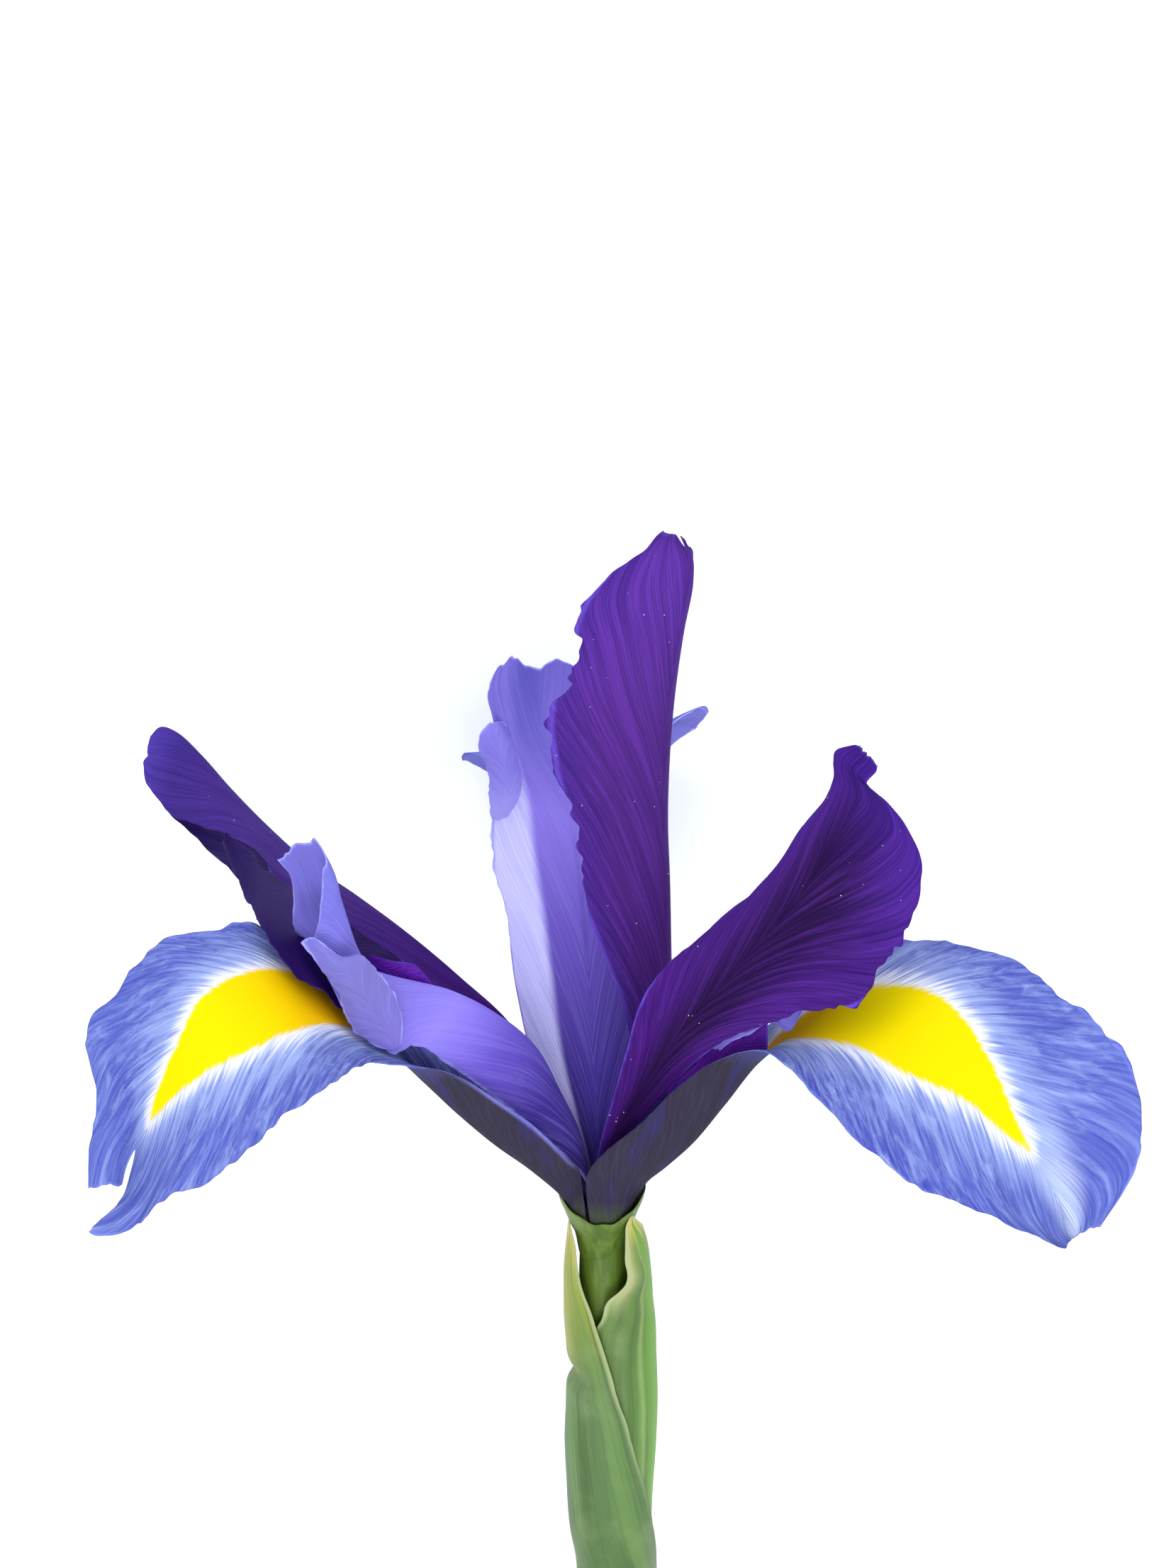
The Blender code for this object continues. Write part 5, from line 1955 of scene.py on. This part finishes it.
@dataclass
class Bloom:
    """The whole flower head with its petals, style arms and stamens.

    Attributes:
        looks: Where its pieces go.
    """

    looks: Looks

    def build(self) -> None:
        """Makes every part of the head."""
        self.petals()
        self.arms()
        self.flaps()
        self.stamens()

    def petals(self) -> None:
        """Makes the falls and the standards, with a few grains of pollen on the standards."""
        dust, growth = POLLEN_FINISH.material(), grains_tree()
        blues = (FALL_FINISH, RIGHT_FALL_FINISH, BACK_FALL_FINISH)
        violets = (LEFT_STANDARD_FINISH, UPRIGHT_STANDARD_FINISH, FRONT_STANDARD_FINISH)
        for petal, blue in zip(falls(), blues):
            petal.build(self.looks, "fall_blue", blue.material())
        for seed, (petal, violet) in enumerate(zip(standards(), violets), start=3):
            skin = petal.build(self.looks, "standard_violet", violet.material())
            options = {"Density": 26000.0, "Size": 0.00006, "Seed": seed, "Material": dust}
            self.looks.add(growth.grow(f"{petal.node}_dust", skin, options), "standard_violet")

    def arms(self) -> None:
        """Makes the style arms."""
        lavender, banded = STYLE_FINISH.material(), BACK_STYLE_FINISH.material()
        for arm, skin in zip(style_arms(), (lavender, lavender, banded)):
            arm.build(self.looks, "style_lavender", skin)

    def flaps(self) -> None:
        """Makes the small lobes and curled margins of the petals and the style arms."""
        frilled, calm = Margin(0.3, 0.08, 5, 241, 0.1), Margin(0.15, 0.04, 5, 251, 0.1)
        lapping = Margin(0.3, 0.08, 6, 261, 0.05)
        crest, purple = CREST_FINISH.material(), WING_FINISH.material()
        lobe, painted_shade_violet = BACK_LOBE_FINISH.material(), LAPPET_SHADE_FINISH.material()
        for flap, slot, material in (
            (Flap("style_left_lobe", NEAR_LOBE_ROWS, frilled), "style_lavender", crest),
            (Flap("style_back_lobe", BACK_LOBE_ROWS, frilled, Side.AGAINST), "style_lavender", lobe),
            (Flap("standard_left_curl", LEFT_CURL_ROWS, calm), "standard_violet", purple),
            # The lappet shows the left standard's far half in deep violet darkened with painted shade.
            (Flap("standard_left_shaded_lappet", LEFT_LAPPET_ROWS, lapping), "standard_violet", painted_shade_violet),
            (Flap("style_right_wing", PURPLE_WING_ROWS, calm), "style_lavender", purple),
        ):
            flap.build(self.looks, slot, material)

    def stamens(self) -> None:
        """Makes a filament and an anther under each style arm."""
        stalk, grains = stalk_tree(), grains_tree()
        pale, cream, dust = (f.material() for f in (FILAMENT_FINISH, ANTHER_FINISH, POLLEN_FINISH))
        for side, azimuth in AZIMUTHS.items():
            path = self.along_arm(azimuth, FILAMENT_PATH, 24)
            filament = Stalk(f"filament_{side}", path, np.full(24, FILAMENT_RADIUS), 16, 4, 0.05)
            filament.build(self.looks, stalk, "filament_lavender", pale)
            path = self.along_arm(azimuth, ANTHER_PATH, 28)
            knots = np.arange(len(ANTHER_RADII))
            radii = smooth(knots, np.array(ANTHER_RADII)[:, None], np.linspace(0, knots[-1], 28))[:, 0]
            anther = Stalk(f"anther_{side}", path, radii, 36, 2, 0.16)
            body = anther.build(self.looks, stalk, "anther_cream", cream)
            options = {"Density": 9000000.0, "Size": 0.00004, "Seed": azimuth, "Material": dust}
            self.looks.add(grains.grow(f"anther_{side}_pollen", body, options), "anther_cream")

    @staticmethod
    def along_arm(azimuth: float, drawn: list[tuple[float, float]], count: int) -> np.ndarray:
        """Gives a smooth path under a style arm.

        Args:
            azimuth: The arm's direction, in degrees.
            drawn: Reach and height of each guide point.
            count: How many points the path has.

        Returns:
            The points.
        """
        angle = math.radians(azimuth)
        turn = np.array((math.cos(angle), math.sin(angle)))
        points = np.array([(*(turn * reach), height) for reach, height in drawn])
        return smooth(np.arange(len(points)), points, np.linspace(0, len(points) - 1, count))


@dataclass
class Stand:
    """What carries the head: the ovary, the bracts and the cut stem.

    Attributes:
        looks: Where its pieces go.
    """

    looks: Looks

    def build(self) -> None:
        """Makes the ovary, the bracts and the stem."""
        stalk = stalk_tree()
        self.ovary(stalk)
        self.bracts()
        self.stem(stalk)

    def ovary(self, stalk: Growth) -> None:
        """Makes the ovary and the green collar round the claws."""
        profile = np.array(OVARY_PROFILE, float)
        places = np.linspace(0, len(profile) - 1, 40)
        heights, radii = smooth(np.arange(len(profile)), profile, places).T
        path = np.stack([0.3 - 0.02 * heights, np.zeros(40), heights], axis=-1)
        green = OVARY_FINISH.material()
        Stalk("ovary", path, radii, 48, 6, 0.012).build(self.looks, stalk, "ovary_green", green)
        Collar().build(self.looks, green)

    def bracts(self) -> None:
        """Makes the two sheathing bracts."""
        outer = Bract("bract_outer", OUTER_BRACT, Margin(0.08, 0.01, 9, 201, 0.4), OUTER_PINCH)
        outer.build(self.looks, OUTER_BRACT_FINISH.material())
        inner = Bract("bract_inner", INNER_BRACT, Margin(0.08, 0.01, 9, 213, 0.4))
        inner.build(self.looks, INNER_BRACT_FINISH.material())

    def stem(self, stalk: Growth) -> None:
        """Makes the cut stem, which swells at its node and is thinner inside the sheath."""
        sway = np.array(STEM_SWAY)
        heights = np.linspace(sway[0, 0], sway[-1, 0], 160)
        centres = smooth(sway[:, 0], sway[:, 1:], heights)[:, 0]
        in_sheath = np.clip((heights - NODE_HEIGHT + 3) / 8, 0, 1)
        swell = NODE_SWELL * np.exp(-(((heights - NODE_HEIGHT) / 3.5) ** 2))
        radii = STEM_RADIUS * (1 - 0.12 * in_sheath) + swell
        path = np.stack([centres, np.zeros(160), heights], axis=-1)
        stem = Stalk("stem", path, radii, 60, 14, 0.018)
        stem.build(self.looks, stalk, "stem_green", STEM_FINISH.material())


@dataclass(frozen=True)
class Lamp:
    """A large soft light.

    Attributes:
        name: Its name.
        place: Where it hangs, in metres.
        size: Length of its sides in metres.
        power: Its power in watts.
    """

    name: str
    place: Point
    size: float
    power: float

    def hang(self, aim: Vector) -> None:
        """Adds the light, looking at the aim."""
        lamp = bpy.data.lights.new(self.name, "AREA")
        lamp.size, lamp.energy = self.size, self.power
        made = bpy.data.objects.new(self.name, lamp)
        bpy.context.collection.objects.link(made)
        made.location = self.place
        made.rotation_euler = (aim - made.location).to_track_quat("-Z", "Y").to_euler()


LAMPS = (
    Lamp("key", (-0.35, 0.75, 0.75), 0.7, 3.0),
    Lamp("fill", (0.7, 0.1, 0.7), 0.9, 1.0),
    Lamp("back", (0.1, 0.9, 0.3), 0.8, 1.5),
    Lamp("front", (0.0, -0.35, 0.9), 0.5, 4.0),
)


@dataclass
class Studio:
    """A pale table under soft light, and the camera that looks down on the flower.

    Attributes:
        laid: Where the flower lies.
        distance: Millimetres from the camera to the middle of its view.
        centre: Middle of the view, to the right and up as the camera sees them, in millimetres.
        angle: Angle of the view from its top to its bottom.
        half_table: Half the width of the table in metres.
    """

    laid: LaidFlower
    distance: float = 3020.0
    centre: tuple[float, float] = (-1.35, 49.95)
    angle: float = 2 * math.atan(90 / 3000)
    half_table: float = 3.0

    def build(self) -> None:
        """Makes the table, the lights and the camera."""
        self.table()
        self.sky()
        bpy.context.scene.view_settings.view_transform = "Standard"
        for lamp in LAMPS:
            lamp.hang(Vector((0, 0.09, 0.04)))
        self.camera()

    def table(self) -> None:
        """Makes the table, which isn't part of the flower."""
        mesh = bpy.data.meshes.new("table")
        turns = ((-1, -1), (1, -1), (1, 1), (-1, 1))
        mesh.from_pydata([(self.half_table * x, self.half_table * y, 0) for x, y in turns], [], [range(4)])
        table = bpy.data.objects.new("table", mesh)
        bpy.context.collection.objects.link(table)
        mesh.materials.append(Wiring("table_paint").finish(srgb(250, 253, 254), 0.9))

    def sky(self) -> None:
        """Lights the whole scene evenly with white."""
        world = bpy.data.worlds.new("sky")
        bpy.context.scene.world = world
        world.use_nodes = True
        background = world.node_tree.nodes["Background"]
        background.inputs["Color"].default_value = (0.97, 0.99, 1.0, 1)
        background.inputs["Strength"].default_value = 1.25

    def camera(self) -> None:
        """Adds the camera, which sees the nodding flower from the front."""
        towards = Vector((0, -math.cos(NOD), math.sin(NOD)))
        up = Vector((0, math.sin(NOD), math.cos(NOD)))
        place = Vector((self.centre[0], 0, 0)) + up * self.centre[1] + towards * self.distance
        turn = Matrix((Vector((1, 0, 0)), up, towards)).transposed()
        lens = bpy.data.cameras.new("camera")
        lens.sensor_fit, lens.angle = "VERTICAL", self.angle
        lens.clip_end = 20
        camera = bpy.data.objects.new("camera", lens)
        bpy.context.collection.objects.link(camera)
        camera.location = self.laid.matrix @ place
        camera.rotation_euler = (self.laid.matrix.to_quaternion() @ turn.to_quaternion()).to_euler()
        bpy.context.scene.camera = camera


def main() -> None:
    """Builds the flower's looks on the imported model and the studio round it."""
    logging.basicConfig(level=logging.INFO, format="%(name)s %(message)s")
    for old in list(bpy.data.objects):
        bpy.data.objects.remove(old)
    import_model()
    shapes = {petal.node: petal.sheet().surface()[0] for petal in falls()}
    laid = LaidFlower.on_frame(RISE, shapes)
    looks = Looks(laid)
    Bloom(looks).build()
    Stand(looks).build()
    Studio(laid).build()
    bpy.context.view_layer.update()
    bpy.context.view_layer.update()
    faces = sum(len(piece.data.polygons) for piece in looks.pieces)
    LOG.info("%d pieces, %d faces", len(looks.pieces), faces)


if __name__ == "__main__":
    main()
